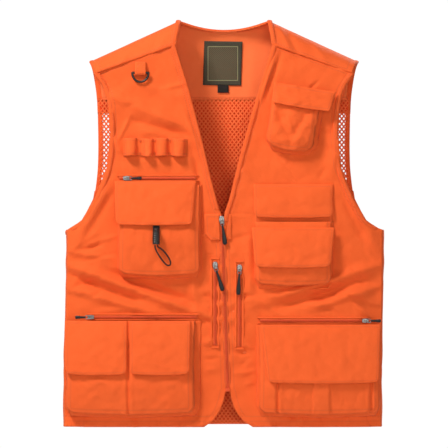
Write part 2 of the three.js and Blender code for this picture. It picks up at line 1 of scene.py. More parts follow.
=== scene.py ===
import bpy, math
import numpy as np
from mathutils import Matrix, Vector


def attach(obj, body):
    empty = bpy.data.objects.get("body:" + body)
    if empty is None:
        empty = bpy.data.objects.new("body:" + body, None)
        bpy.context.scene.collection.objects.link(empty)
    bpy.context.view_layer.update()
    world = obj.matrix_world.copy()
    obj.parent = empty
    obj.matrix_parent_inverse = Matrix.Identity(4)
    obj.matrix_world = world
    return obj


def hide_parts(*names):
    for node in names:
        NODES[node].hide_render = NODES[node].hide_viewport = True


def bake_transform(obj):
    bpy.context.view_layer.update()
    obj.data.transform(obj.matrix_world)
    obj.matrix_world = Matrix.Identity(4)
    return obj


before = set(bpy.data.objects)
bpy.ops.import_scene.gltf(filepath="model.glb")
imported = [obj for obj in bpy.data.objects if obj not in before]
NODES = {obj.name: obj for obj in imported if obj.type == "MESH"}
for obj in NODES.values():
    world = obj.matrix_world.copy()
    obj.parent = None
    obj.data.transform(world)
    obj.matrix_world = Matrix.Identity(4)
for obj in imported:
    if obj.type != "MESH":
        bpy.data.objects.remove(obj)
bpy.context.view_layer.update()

# The work is laid out in millimetres, z = 0 at the hem and y = 0 on the shoulder ridge, as the vest is cut.
HX, HY, HZ = 0.0, 24.5, 681.0


def row(p):
    p = np.asarray(p, float)
    return (p - np.array([HX, HY, HZ])) / 1000.0


def R(x, y, z):
    return tuple(float(v) for v in row([x, y, z]))


# ------------------------------------------------------------------ camera
cam_data = bpy.data.cameras.new("camera")
cam = bpy.data.objects.new("camera", cam_data)
bpy.context.scene.collection.objects.link(cam)
cam.location = R(0.0, -38 - 5000, 346.8)
cam.rotation_euler = (math.pi / 2, 0, 0)
cam_data.sensor_width = 36
cam_data.lens = 36 * 5.0 / 0.7616
bpy.context.scene.camera = cam

# --------------------------------------------------------------- materials
def new_material(name):
    m = bpy.data.materials.new(name)
    m.use_nodes = True
    nt = m.node_tree
    nt.nodes.clear()
    out = nt.nodes.new("ShaderNodeOutputMaterial")
    b = nt.nodes.new("ShaderNodeBsdfPrincipled")
    nt.links.new(b.outputs[0], out.inputs[0])
    return m, nt, b


def N(nt, kind, **k):
    n = nt.nodes.new(kind)
    for key, v in k.items():
        if key in n.bl_rna.properties:
            setattr(n, key, v)
        else:
            n.inputs[key].default_value = v
    return n


def math_node(nt, op, a, b=None, c=None, clamp=False):
    n = nt.nodes.new("ShaderNodeMath")
    n.operation = op
    n.use_clamp = clamp
    for i, v in enumerate((a, b, c)):
        if v is None:
            continue
        if isinstance(v, (int, float)):
            n.inputs[i].default_value = v
        else:
            nt.links.new(v, n.inputs[i])
    return n.outputs[0]


def mix_rgb(nt, fac, a, b, blend="MIX"):
    n = nt.nodes.new("ShaderNodeMix")
    n.data_type = "RGBA"
    n.blend_type = blend
    n.clamp_factor = True
    for i, v in ((0, fac), (6, a), (7, b)):
        if isinstance(v, (int, float)):
            n.inputs[i].default_value = v
        elif isinstance(v, tuple):
            n.inputs[i].default_value = (*v, 1)
        else:
            nt.links.new(v, n.inputs[i])
    return n.outputs[2]


def fabric(name, light, dark, rough=0.82, weave=0.00055, stitches=(4.2,), thread=None, bump=0.35, sheen=0.10, mottling=0.10, creases=4.0):
    """Plain-woven cloth: crossing yarns, slubs, faded patches, and topstitching at set distances from the edge ('ed',
    mm), with painted shade along the stitch grooves.
    """
    m, nt, b = new_material(name)
    L = nt.links
    tc = N(nt, "ShaderNodeTexCoord")
    sep = N(nt, "ShaderNodeSeparateXYZ")
    L.new(tc.outputs["Object"], sep.inputs[0])
    x, y, z = sep.outputs
    k = 2 * math.pi / weave
    warp = math_node(nt, "SINE", math_node(nt, "MULTIPLY", math_node(nt, "ADD", x, math_node(nt, "MULTIPLY", y, 0.7)), k))
    weft = math_node(nt, "SINE", math_node(nt, "MULTIPLY", math_node(nt, "ADD", z, math_node(nt, "MULTIPLY", y, 0.35)), k))
    yarn = math_node(nt, "MULTIPLY", warp, weft)
    slub = N(nt, "ShaderNodeTexNoise", Scale=900.0, Detail=3.0, Roughness=0.6)
    L.new(tc.outputs["Object"], slub.inputs["Vector"])
    fade = N(nt, "ShaderNodeTexNoise", Scale=9.0, Detail=3.0, Roughness=0.55)
    L.new(tc.outputs["Object"], fade.inputs["Vector"])
    fine = N(nt, "ShaderNodeTexNoise", Scale=120.0, Detail=4.0, Roughness=0.65)
    L.new(tc.outputs["Object"], fine.inputs["Vector"])
    tone = math_node(nt, "ADD", math_node(nt, "MULTIPLY", math_node(nt, "SUBTRACT", fade.outputs[0], 0.5), 0.9),
                     math_node(nt, "MULTIPLY", math_node(nt, "SUBTRACT", fine.outputs[0], 0.5), 0.5))
    tone = math_node(nt, "ADD", tone, math_node(nt, "MULTIPLY", yarn, 0.10))
    fac = math_node(nt, "ADD", 0.35, math_node(nt, "MULTIPLY", tone, mottling * 6), clamp=True)
    col = mix_rgb(nt, fac, light, dark)
    rough_v = math_node(nt, "ADD", rough, math_node(nt, "MULTIPLY", math_node(nt, "SUBTRACT", fine.outputs[0], 0.5), 0.16), clamp=True)
    height = math_node(nt, "ADD", math_node(nt, "MULTIPLY", yarn, 0.5), math_node(nt, "MULTIPLY", slub.outputs[0], 0.6))
    height = math_node(nt, "ADD", height, math_node(nt, "MULTIPLY", fine.outputs[0], 0.9))
    crumple = N(nt, "ShaderNodeTexNoise", Scale=13.0, Detail=2.5, Roughness=0.5, Distortion=1.1)
    L.new(tc.outputs["Object"], crumple.inputs["Vector"])
    line_ = math_node(nt, "ABSOLUTE", math_node(nt, "MULTIPLY", math_node(nt, "SUBTRACT", crumple.outputs[0], 0.5), 3.2), clamp=True)
    height = math_node(nt, "ADD", height, math_node(nt, "MULTIPLY", math_node(nt, "POWER", line_, 0.7), creases))
    if stitches:
        at = N(nt, "ShaderNodeAttribute", attribute_name="ed")
        ed = at.outputs["Fac"]
        dash = math_node(nt, "SINE", math_node(nt, "MULTIPLY", math_node(nt, "ADD", x, z), 2 * math.pi / 0.0031))
        dash = math_node(nt, "GREATER_THAN", dash, -0.45)
        near = math_node(nt, "DIVIDE", math_node(nt, "SUBTRACT", ed, 5.0), 6.0)
        near = math_node(nt, "EXPONENT", math_node(nt, "MULTIPLY", math_node(nt, "MULTIPLY", near, near), -1.0))
        height = math_node(nt, "ADD", height, math_node(nt, "MULTIPLY", math_node(nt, "MULTIPLY", near, fine.outputs[0]), 3.6))
        for s in stitches:
            dist = math_node(nt, "ABSOLUTE", math_node(nt, "SUBTRACT", ed, s))
            groove_and_shade = math_node(nt, "SUBTRACT", 1.0, math_node(nt, "DIVIDE", dist, 1.3), clamp=True)
            line = math_node(nt, "LESS_THAN", dist, 0.42)
            # painted shade: the colour darkens to a deeper red along the stitch groove, besides the groove's bump
            col = mix_rgb(nt, math_node(nt, "MULTIPLY", groove_and_shade, 0.62), col, tuple(c * f for c, f in zip(dark, (0.75, 0.55, 0.5))))
            col = mix_rgb(nt, math_node(nt, "MULTIPLY", math_node(nt, "MULTIPLY", line, dash), 0.55), col, thread or light)
            height = math_node(nt, "SUBTRACT", height, math_node(nt, "MULTIPLY", groove_and_shade, 1.6))
            height = math_node(nt, "ADD", height, math_node(nt, "MULTIPLY", math_node(nt, "MULTIPLY", line, dash), 0.9))
        # the folded edge itself is rubbed a little lighter
        worn = math_node(nt, "SUBTRACT", 1.0, math_node(nt, "DIVIDE", math_node(nt, "ABSOLUTE", math_node(nt, "SUBTRACT", ed, 0.6)), 0.9), clamp=True)
        col = mix_rgb(nt, math_node(nt, "MULTIPLY", math_node(nt, "MULTIPLY", worn, fine.outputs[0]), 0.25), col, tuple(min(1, c * 1.15 + 0.02) for c in light))
    L.new(col, b.inputs["Base Color"])
    L.new(rough_v, b.inputs["Roughness"])
    bn = N(nt, "ShaderNodeBump", Strength=bump, Distance=0.0004)
    L.new(height, bn.inputs["Height"])
    L.new(bn.outputs[0], b.inputs["Normal"])
    b.inputs["Sheen Weight"].default_value = sheen
    b.inputs["Sheen Roughness"].default_value = 0.5
    b.inputs["Sheen Tint"].default_value = (1.0, 0.55, 0.35, 1)
    b.inputs["Specular IOR Level"].default_value = 0.25
    return m


def plastic(name, a, bcol, rough=0.4, bump=0.2, scale=300.0, metal=0.0, spec=0.5, scratches=True):
    m, nt, b = new_material(name)
    L = nt.links
    tc = N(nt, "ShaderNodeTexCoord")
    n1 = N(nt, "ShaderNodeTexNoise", Scale=scale, Detail=5.0, Roughness=0.6)
    L.new(tc.outputs["Object"], n1.inputs["Vector"])
    n2 = N(nt, "ShaderNodeTexNoise", Scale=60.0, Detail=2.0)
    L.new(tc.outputs["Object"], n2.inputs["Vector"])
    geo = N(nt, "ShaderNodeNewGeometry")
    edge = math_node(nt, "MULTIPLY", math_node(nt, "SUBTRACT", geo.outputs["Pointiness"], 0.52), 6.0, clamp=True)
    col = mix_rgb(nt, n1.outputs[0], a, bcol)
    if scratches:
        col = mix_rgb(nt, math_node(nt, "MULTIPLY", edge, n2.outputs[0]), col, tuple(min(1, c * 1.6 + 0.05) for c in bcol))
    L.new(col, b.inputs["Base Color"])
    L.new(math_node(nt, "ADD", rough, math_node(nt, "MULTIPLY", math_node(nt, "SUBTRACT", n2.outputs[0], 0.5), 0.3), clamp=True), b.inputs["Roughness"])
    bn = N(nt, "ShaderNodeBump", Strength=bump, Distance=0.0002)
    L.new(n1.outputs[0], bn.inputs["Height"])
    L.new(bn.outputs[0], b.inputs["Normal"])
    b.inputs["Metallic"].default_value = metal
    b.inputs["Specular IOR Level"].default_value = spec
    return m


ORANGE_L, ORANGE_D = (0.90, 0.128, 0.022), (0.80, 0.088, 0.010)
M_SHELL = fabric("shell_cloth", ORANGE_L, ORANGE_D, thread=(0.90, 0.20, 0.06))
M_BIND = fabric("binding_cloth", (0.88, 0.125, 0.022), (0.76, 0.080, 0.010), stitches=(2.2,), thread=(0.9, 0.2, 0.06))
# painted shade: a darker red cloth for the back's inner face, standing in for the shadow behind the knit
M_INNER_SHADE = fabric("inner_shade_cloth", (0.86, 0.060, 0.006), (0.74, 0.040, 0.003), stitches=())
M_LINING = fabric("lining_cloth", (0.96, 0.190, 0.052), (0.92, 0.150, 0.034), weave=0.00042, thread=(0.88, 0.18, 0.05))
M_MESH = fabric("knit_mesh", (0.97, 0.185, 0.050), (0.92, 0.120, 0.022), weave=0.0007, stitches=(), bump=0.6)
M_TAPE = fabric("zip_tape", (0.80, 0.115, 0.026), (0.66, 0.075, 0.014), weave=0.0009, stitches=(), bump=0.6)
M_COIL = plastic("zip_coil", (0.72, 0.085, 0.014), (0.58, 0.055, 0.008), rough=0.6, spec=0.2)
M_STEEL = plastic("plated_steel", (0.36, 0.35, 0.33), (0.20, 0.19, 0.18), rough=0.34, metal=0.95, bump=0.1)
M_RUBBER = plastic("black_grip_rubber", (0.006, 0.006, 0.006), (0.018, 0.015, 0.014), rough=0.42, bump=0.3, spec=0.3)
M_BLACK = plastic("black_plastic", (0.010, 0.007, 0.006), (0.030, 0.019, 0.015), rough=0.33, spec=0.4)
M_CORD = fabric("cord_braid", (0.020, 0.018, 0.017), (0.010, 0.009, 0.009), weave=0.0016, stitches=(), bump=0.9, sheen=0.05)
M_WEB = fabric("black_webbing", (0.022, 0.018, 0.016), (0.010, 0.008, 0.007), weave=0.0018, stitches=(), bump=0.9, sheen=0.05)

# ---------------------------------------------------------------- geometry
rng = np.random.default_rng(7)
_W = [(rng.uniform(-1, 1, 2), rng.uniform(0, 6.28)) for _ in range(48)]


def wavy(a, b, scale, seed=0):
    """Smooth noise from -1 to 1 over two coordinates in mm, with features of about `scale` mm."""
    a, b = np.asarray(a, float), np.asarray(b, float)
    s = 0
    for i in range(6):
        (d, ph) = _W[(seed * 6 + i) % 48]
        d = d / (np.linalg.norm(d) + 1e-9)
        f = 2 * math.pi / scale * (0.6 + 0.22 * i)
        s = s + np.sin((a * d[0] + b * d[1]) * f + ph + 1.7 * np.sin((a * d[1] - b * d[0]) * f * 0.43 + ph * 2)) / (1 + 0.35 * i)
    return s / 3.2


def smoothstep(a, b, t):
    t = np.clip((np.asarray(t, float) - a) / (b - a), 0, 1)
    return t * t * (3 - 2 * t)


def crease(x, z, p, q, width, amp, soft=0.25, sharp=1.0):
    """A fold from p to q: a ridge (amp > 0 stands out) whose height fades at its ends."""
    x, z = np.asarray(x, float), np.asarray(z, float)
    p, q = np.array(p, float), np.array(q, float)
    d = q - p
    l = np.hypot(*d)
    t = ((x - p[0]) * d[0] + (z - p[1]) * d[1]) / l / l
    s = ((x - p[0]) * -d[1] + (z - p[1]) * d[0]) / l
    ends = smoothstep(-soft, soft, t) * (1 - smoothstep(1 - soft, 1 + soft, t))
    return amp * ends * np.exp(-np.abs(s / width) ** (1.6 if sharp > 1 else 2))


FOLDS = []


def fold(p, q, width, amp, **k):
    FOLDS.append((p, q, width, amp, k))


def relief(x, z):
    """How far the front cloth stands out of its plane, mm. The pockets and all that is sewn on follow it."""
    x, z = np.asarray(x, float), np.asarray(z, float)
    s = 1.9 * wavy(x, z, 120, 1) + 0.95 * wavy(x, z, 44, 2) + 0.35 * wavy(x, z, 19, 6)
    if x.size == 0:
        return s
    xl, xh, zl, zh = x.min(), x.max(), z.min(), z.max()
    for p, q, w, a, k in FOLDS:
        r = 3.2 * w + 0.5 * math.hypot(q[0] - p[0], q[1] - p[1])
        if min(p[0], q[0]) - r > xh or max(p[0], q[0]) + r < xl or min(p[1], q[1]) - r > zh or max(p[1], q[1]) + r < zl:
            continue
        s = s + crease(x, z, p, q, w * 0.92, a * 1.25, **k)
    return s


def round_off(x):
    return 9.0 * smoothstep(205, 272, np.abs(x)) ** 1.5


def front_y(x, z):
    return -38 - relief(x, z) * (1 - 0.7 * smoothstep(600, 650, z)) + round_off(x)


# right side (wearer's), -x
fold((-262, 276), (-40, 196), 9, 8.0)
fold((-190, 262), (-60, 214), 10, -7.0)
fold((-262, 236), (-120, 196), 8, 5.0)
fold((-240, 250), (-150, 218), 7, -4.5)
fold((-262, 300), (-190, 288), 6, 2.6)
fold((-262, 262), (-215, 238), 5, -2.8)
fold((-200, 402), (-258, 300), 14, 4.5)
fold((-190, 400), (-238, 320), 8, -3.5)
fold((-192, 566), (-70, 512), 10, 4.4)
fold((-160, 524), (-66, 498), 7, -3.6)
fold((-70, 540), (-40, 470), 7, 3.0)
fold((-56, 480), (-44, 430), 6, -2.6)
fold((-190, 500), (-175, 470), 5, 2.4)
fold((-150, 590), (-70, 560), 12, 2.0)
fold((-60, 300), (-46, 200), 8, 3.0)
fold((-44, 470), (-40, 330), 7, -2.0)
fold((-215, 430), (-188, 560), 10, 2.5)
# left side, +x
fold((88, 634), (62, 560), 6, 3.6)
fold((98, 640), (74, 570), 5, -2.6)
fold((200, 520), (182, 430), 10, 3.0)
fold((214, 400), (262, 300), 14, 4.5)
fold((205, 390), (240, 320), 8, -3.5)
fold((262, 276), (60, 214), 9, 6.0)
fold((200, 236), (90, 205), 8, -5.0)
fold((262, 240), (150, 204), 7, 4.0)
fold((240, 252), (160, 226), 6, -3.6)
fold((40, 330), (46, 210), 8, 2.6)
fold((30, 440), (46, 420), 8, 2.0)
fold((188, 250), (256, 216), 9, 3.0)

_c = np.random.default_rng(41)
for _ in range(120):
    sx_ = -1 if _ % 2 else 1
    zone = _c.integers(0, 5)
    if zone == 0:  # beside the side seams
        x_, z_, a_ = sx_ * _c.uniform(205, 262), _c.uniform(195, 330), _c.uniform(-0.9, -0.2) * sx_
    elif zone == 1:  # round the chest
        x_, z_, a_ = sx_ * _c.uniform(70, 190), _c.uniform(425, 600), _c.uniform(-1.2, 1.2)
    elif zone == 2:  # between the pockets
        x_, z_, a_ = sx_ * _c.uniform(45, 250), _c.uniform(190, 245), _c.uniform(-0.6, 0.1) * sx_
    elif zone == 3:  # the centre columns, drawn in by the zip seams
        x_, z_, a_ = (-26 if sx_ < 0 else 36) + _c.uniform(-8, 8), _c.uniform(60, 330), _c.uniform(-0.5, 0.5)
    else:  # by the hem
        x_, z_, a_ = sx_ * _c.uniform(30, 262), _c.uniform(2, 24), _c.uniform(1.2, 1.9)
    l_ = _c.uniform(16, 46) * (0.6 if zone in (3, 4) else 1)
    fold((x_ - l_ / 2 * math.cos(a_), z_ - l_ / 2 * math.sin(a_)), (x_ + l_ / 2 * math.cos(a_), z_ + l_ / 2 * math.sin(a_)), _c.uniform(3.2, 6.0), _c.uniform(0.8, 2.3) * (-1 if _c.uniform() < 0.5 else 1), soft=0.4)

PIECES = {}


def mk(name, verts, faces, mat, body=None, slot="orange_shell", replaces=(), smooth=True, ed=None, thick=0.0, off=-1.0, bevel=0.0, subsurf=0):
    me = bpy.data.meshes.new(name)
    v = row(np.asarray(verts, float).reshape(-1, 3))
    me.from_pydata([tuple(p) for p in v], [], [tuple(int(i) for i in f) for f in faces])
    me.update()
    me.materials.append(mat)
    if smooth:
        me.polygons.foreach_set("use_smooth", [True] * len(me.polygons))
    if ed is not None:
        a = me.attributes.new("ed", "FLOAT", "POINT")
        a.data.foreach_set("value", np.asarray(ed, np.float32).ravel())
    o = bpy.data.objects.new(name, me)
    bpy.context.scene.collection.objects.link(o)
    if bevel:
        b = o.modifiers.new("bevel", "BEVEL")
        b.width = bevel / 1000
        b.segments = 2
        b.limit_method = "ANGLE"
        b.angle_limit = math.radians(35)
    if subsurf:
        s = o.modifiers.new("sub", "SUBSURF")
        s.levels = s.render_levels = subsurf
    if thick:
        s = o.modifiers.new("thick", "SOLIDIFY")
        s.thickness = thick / 1000
        s.offset = off
        s.use_rim = True
    if body:
        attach(o, body)
    if replaces:
        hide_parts(*replaces)
    PIECES[name] = o
    return o


def quads(n, m, base=0, wrap_i=False, wrap_j=False):
    f = []
    for i in range(n if wrap_i else n - 1):
        for j in range(m if wrap_j else m - 1):
            a, b = base + i * m + j, base + ((i + 1) % n) * m + j
            c, d = base + ((i + 1) % n) * m + (j + 1) % m, base + i * m + (j + 1) % m
            f.append((a, b, c, d))
    return f


def facing(P, want):
    """True where the grid's quads face the way `want` points."""
    n, m = P.shape[:2]
    i, j = n // 2, m // 2
    a, b = P[min(i + 1, n - 1), j] - P[max(i - 1, 0), j], P[i, min(j + 1, m - 1)] - P[i, max(j - 1, 0)]
    return float(np.dot(np.cross(a, b), want)) > 0


def grid(name, P, mat, want=(0, -1, 0), **k):
    P = np.asarray(P, float)
    n, m = P.shape[:2]
    f = quads(n, m)
    if not facing(P, want):
        f = [q[::-1] for q in f]
    return mk(name, P.reshape(-1, 3), f, mat, **k)


def interp(points, z):
    """x as a function of z from a list of (x, z)."""
    pts = sorted(points, key=lambda p: p[1])
    return np.interp(z, [p[1] for p in pts], [p[0] for p in pts])


def curve(points, n, closed=False):
    """n points on a smooth curve through points (Catmull-Rom), evenly spaced."""
    P = np.asarray(points, float)
    if closed:
        Q = np.vstack([P[-1], P, P[0], P[1]])
    else:
        Q = np.vstack([2 * P[0] - P[1], P, 2 * P[-1] - P[-2]])
    out = []
    for i in range(1, len(Q) - 2):
        for t in np.linspace(0, 1, 24, endpoint=False):
            a, b, c, d = Q[i - 1], Q[i], Q[i + 1], Q[i + 2]
            out.append(0.5 * (2 * b + (c - a) * t + (2 * a - 5 * b + 4 * c - d) * t * t + (3 * b - a - 3 * c + d) * t ** 3))
    if not closed:
        out.append(P[-1])
    else:
        out.append(out[0])
    out = np.array(out)
    s = np.r_[0, np.cumsum(np.linalg.norm(np.diff(out, axis=0), axis=1))]
    u = np.linspace(0, s[-1], n + 1 if closed else n)
    res = np.stack([np.interp(u, s, out[:, k]) for k in range(out.shape[1])], 1)
    return res[:-1] if closed else res


def zip_x(z):
    return -3.5 + 10.0 * (346 - z) / 278.0


ARM_F = [(231, 624), (221, 602), (205, 578), (197, 550), (193.5, 500), (199, 444), (219, 392), (243, 352), (266, 338)]
ARM_B = [(231, 624), (224, 590), (219, 560), (217.5, 520), (217, 470), (219, 430), (226, 390), (244, 355), (266, 338)]
V_IN = {-1: [(-73.5, 695.5), (-82.5, 651), (-80, 643), (-59, 575), (-37, 490), (-22, 425), (-8, 372), (-4.2, 362), (-3.6, 346)],
        1: [(73.5, 695.5), (82, 651), (77, 633), (48.5, 540), (26.5, 461), (8, 386), (1.5, 368), (-2.4, 346)]}
HEM_IN = {-1: [(3.2, 64), (0.5, 50), (-3.5, 38), (-9, 26), (-18, 13), (-34, 1.5)],
          1: [(9.6, 64), (12.5, 50), (16.5, 36), (23, 24), (33, 12), (49, 1.5)]}


def inner_edge(s, z):
    z = np.asarray(z, float)
    top = interp(V_IN[s], z)
    mid = zip_x(z) + s * 1.0
    low = interp(HEM_IN[s], z)
    return np.where(z > 346, top, np.where(z > 64, mid, low))


def outer_edge(s, z):
    z = np.asarray(z, float)
    return s * np.where(z > 338, interp(ARM_F, z), np.where(s < 0, 266 + 5.5 * smoothstep(338, 60, z), 270 - 3 * smoothstep(320, 60, z)))


def front_grid(s, n=104, m=250):
    """The front of one side, u from the zip to the side, v from the yoke seam to the hem."""
    u = np.linspace(0, 1, n)[:, None]
    v = np.linspace(0, 1, m)[None, :]
    ztop = 651 + (603 - 651) * u
    z = ztop + (1.5 - ztop) * v
    xi, xo = inner_edge(s, z), outer_edge(s, z)
    x = xi + (xo - xi) * u
    return x, z, u + 0 * v, v + 0 * u


def front_ed(s, x, z):
    """Distance from a topstitched edge of the front: armhole, neck and zip edge, yoke seam, hem."""
    d_arm = np.where(z > 338, np.abs(outer_edge(s, z) - x) * 0.92, 90.0) - 7.0
    d_in = np.abs(x - inner_edge(s, z)) - np.where(z > 372, 7.0, 5.5)
    tz = 651 + (603 - 651) * np.clip((np.abs(x) - 80) / 139, 0, 1)
    d_top = np.abs(tz - z) * 0.94
    d_hem = np.abs(z - 1.5) - 14
    return np.minimum.reduce([np.where(d_arm > 0, d_arm, 50), np.where(d_in > 0, d_in, 50), d_top, np.abs(d_hem)])


# -------------------------------------------------------------- the fronts
for s, side, hinge in ((-1, "right", -34.0), (1, "left", 42.0)):
    x, z, u, v = front_grid(s)
    y = front_y(x, z)
    # pucker along the zip and the two seams of the pocket zips
    dz = np.abs(x - inner_edge(s, z))
    y = y - 0.9 * np.sin(z / 5.5 + 2 * np.sin(z / 31.0)) * np.exp(-((dz - 9) / 7.0) ** 2) * (z < 345)
    vx = -15 if s < 0 else 26.5
    y = y - 1.1 * np.sin(z / 4.6 + 1.3 * np.sin(z / 17.0)) * np.exp(-((np.abs(x - vx) - 9) / 5.0) ** 2) * (z < 300) * (z > 120)
    # the cross seam at the foot of the V
    y = y + 1.1 * np.exp(-((z - 364) / 1.1) ** 2) * (x > -36) * (x < 48) - 0.6 * np.exp(-((z - 360) / 2.4) ** 2) * (x > -36) * (x < 48)
    # the welt sinks a little round the zip
    y = y + 1.0 * np.exp(-((x - vx) / 4.2) ** 2) * smoothstep(136, 142, z) * (1 - smoothstep(280, 286, z))
    o = grid(f"{side}_front", np.stack([x, y, z], -1), M_SHELL, replaces=(f"{side}_front_panel",), ed=front_ed(s, x, z), thick=1.4)
    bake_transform(o)
    # the inner face of the placket, which stands for its CAD node
    zz = np.linspace(3, 345, 60)
    P = np.zeros((6, 60, 3))
    for i, t in enumerate(np.linspace(0, 1, 6)):
        xi = inner_edge(s, zz) + s * 1.2
        P[i, :, 0] = xi + (hinge + s * 6 - xi) * t
        P[i, :, 2] = zz
        P[i, :, 1] = front_y(P[i, :, 0], zz) + 2.2
    o = grid(f"{side}_placket_facing", P, M_LINING, want=(0, 1, 0), replaces=(f"{side}_placket",), thick=0.5)
    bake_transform(o)

    # front yoke
    n, m = 44, 26
    P = np.zeros((n, m, 3))
    E = np.zeros((n, m))
    for i, t in enumerate(np.linspace(0, 1, n)):
        for j, w in enumerate(np.linspace(0, 1, m)):
            a = w * math.pi / 2
            xr, zr = 74 + (231 - 74) * t, 695.5 + (624 - 695.5) * t
            xs, zs = 81 + (218 - 81) * t, 651 + (602.5 - 651) * t
            X = s * (xr + (xs - xr) * w)
            Z = zr + (zs - zr) * (1 - math.cos(a))
            Y = -0.2 - 37.8 * math.sin(a) - 0.8
            Y -= float(crease(X, Z, (s * 92, 688), (s * 112, 640), 5, 2.6 if s > 0 else 1.2) + crease(X, Z, (s * 104, 684), (s * 128, 632), 4, -1.8 if s > 0 else -0.6)
                       + crease(X, Z, (s * 150, 664), (s * 176, 616), 6, 1.6) + 0.9 * wavy(X, Z, 60, 3))
            Y -= 1.6 * math.exp(-((w - 0.93) / 0.07) ** 2)
            P[i, j] = (X, Y, Z)
            E[i, j] = min(abs((1 - w) * 45), (1 - t) * 150 - 7 if t < 0.99 else 30, t * 150 - 7 if t > 0.05 else 30)
    grid(f"{side}_yoke", P, M_SHELL, want=(0, -1, 1), body="vest_body", replaces=(f"{side}_front_yoke",), ed=E, thick=1.4)

    # side panel, round from front to back, with drape folds
    n, m = 34, 120
    P = np.zeros((n, m, 3))
    for i, t in enumerate(np.linspace(0, 1, n)):
        zz = np.linspace(1.5, 337, m)
        a = -math.pi / 2 + t * math.pi
        edge = np.abs(outer_edge(s, zz)) - 1.0
        yf = front_y(s * edge, zz) + 0.5
        ybk = 38 - 5.0 + 0 * zz
        rx = 5.0 * math.cos(a)
        drape = 1.6 * wavy(zz, 0 * zz + t * 60, 70, 4) + crease(zz, 0 * zz + t * 76, (60, 20), (300, 58), 7, -3.4) + crease(zz, 0 * zz + t * 76, (120, 52), (330, 18), 6, -2.6) + crease(zz, 0 * zz + t * 76, (20, 60), (170, 34), 8, -2.4)
        P[i, :, 0] = s * (edge + rx + math.cos(a) * drape)
        P[i, :, 1] = yf + (ybk - yf) * (0.5 + 0.5 * math.sin(a))
        P[i, :, 2] = zz
    E = np.minimum(np.linspace(0, 1, n)[:, None] * 80, np.abs(np.linspace(1.5, 337, m)[None, :] - 1.5 - 14)) + 0 * P[:, :, 0]
    grid(f"{side}_side", P, M_SHELL, want=(s, 0, 0), body="vest_body", replaces=(f"{side}_side_panel",), ed=E, thick=1.4)

# --------------------------------------------------------------- back panel
def half_back(z):
    return np.where(z > 338, interp(ARM_B, z), interp([(266, 338), (268, 200), (267, 0)], z))


def back_y(x, z):
    a = np.abs(x)
    y = 38 - 5.0 * smoothstep(215, 266, a) ** 1.5 + (2.2 * wavy(x, z, 150, 5) + 1.0 * wavy(x, z, 52, 9) + 0.4 * wavy(x, z, 21, 3)) * smoothstep(0, 60, 560 - z + 8)
    for p, q, w, amp in (((-60, 400), (-84, 40), 15, 5.0), ((70, 400), (92, 40), 14, 4.6), ((-30, 390), (-40, 90), 9, -3.0), ((112, 380), (120, 60), 10, -3.2), ((-262, 300), (-60, 200), 11, 3.0), ((262, 290), (90, 190), 11, 2.8), ((0, 420), (8, 40), 30, 3.0), ((-170, 380), (-150, 60), 20, 3.0), ((168, 400), (160, 40), 20, 3.0),
                         ((-200, 400), (-258, 300), 14, 4.0), ((205, 400), (258, 300), 14, 4.0)):
        y = y + crease(x, z, p, q, w, amp)
    return y


def back_strip(name, xa, xb, za, zb, n, m, replaces=(), vents=False):
    u, v = np.linspace(0, 1, n)[:, None], np.linspace(0, 1, m)[None, :]
    z = zb + (za - zb) * v + 0 * u
    x = xa(z) + (xb(z) - xa(z)) * u
    y = back_y(x, z)
    ed = np.minimum.reduce([np.abs(zb - z) if zb > 550 else 40 + 0 * z, np.abs(np.abs(z - 1.5) - 14), np.where(z > 338, np.abs(half_back(z) - np.abs(x)) - 7, 50)])
    return grid(name, np.stack([x, y, z], -1), M_SHELL, want=(0, 1, 0), body="vest_body", replaces=replaces, ed=np.abs(ed), thick=1.2, off=-1)


back_strip("back_low", lambda z: -half_back(z), lambda z: half_back(z), 1.5, 404, 150, 130, replaces=("back_panel",))
back_strip("back_middle", lambda z: -150 + 0 * z, lambda z: 150 + 0 * z, 404, 537, 70, 32)
back_strip("back_top", lambda z: -half_back(z), lambda z: half_back(z), 537, 561, 90, 8)
# the inner side of the back, behind the knit: a sheet in a darker red, painted shade for the shadowed interior seen
# through the holes
u, v = np.linspace(0, 1, 60)[:, None], np.linspace(0, 1, 70)[None, :]
zz = 558 + (8 - 558) * v + 0 * u
lim = np.where((zz > 402) & (zz < 539), 149.0, half_back(zz) - 5)
xx = -lim + 2 * lim * u
grid("back_inner_shade_face", np.stack([xx, back_y(xx, zz) - 1.9, zz], -1), M_INNER_SHADE, want=(0, -1, 0), body="vest_body", thick=0.0)


def top_of(x):
    a = abs(x)
    if a < 76:
        return HY * (1 - (a / 76) ** 2), HZ + 14.5 * (a / 76) ** 2
    return 0.0, 695.5 + (624 - 695.5) * (a - 76) / 155


def yoke_sheet(half, low, inset, drop, zlow, n, m, wob):
    P, E = np.zeros((n, m, 3)), np.zeros((n, m))
    for i in range(n):
        t = i / (n - 1) * 2 - 1
        x = half * t
        cy, cz = top_of(x)
        e = max(0.0, 1 - abs(x) / 90)
        y0, y1 = cy - inset * 0.5, 38 - inset
        for j in range(m):
            w = j / (m - 1)
            bend = min(1, w / 0.6) * math.pi / 2
            h = 42
            z = cz - drop - h * (1 - math.cos(bend)) if w <= 0.6 else (cz - drop - h) + (zlow - cz + drop + h) * (w - 0.6) / 0.4
            X = x + (low * t - x) * w
            Y = y0 + (y1 - y0) * math.sin(bend) + wob * (0.7 * wavy(X, z, 90, 6)) * math.sin(min(1, w / 0.3) * math.pi / 2)
            P[i, j] = (X, Y, z)
            E[i, j] = abs(z - zlow)
    return P, E


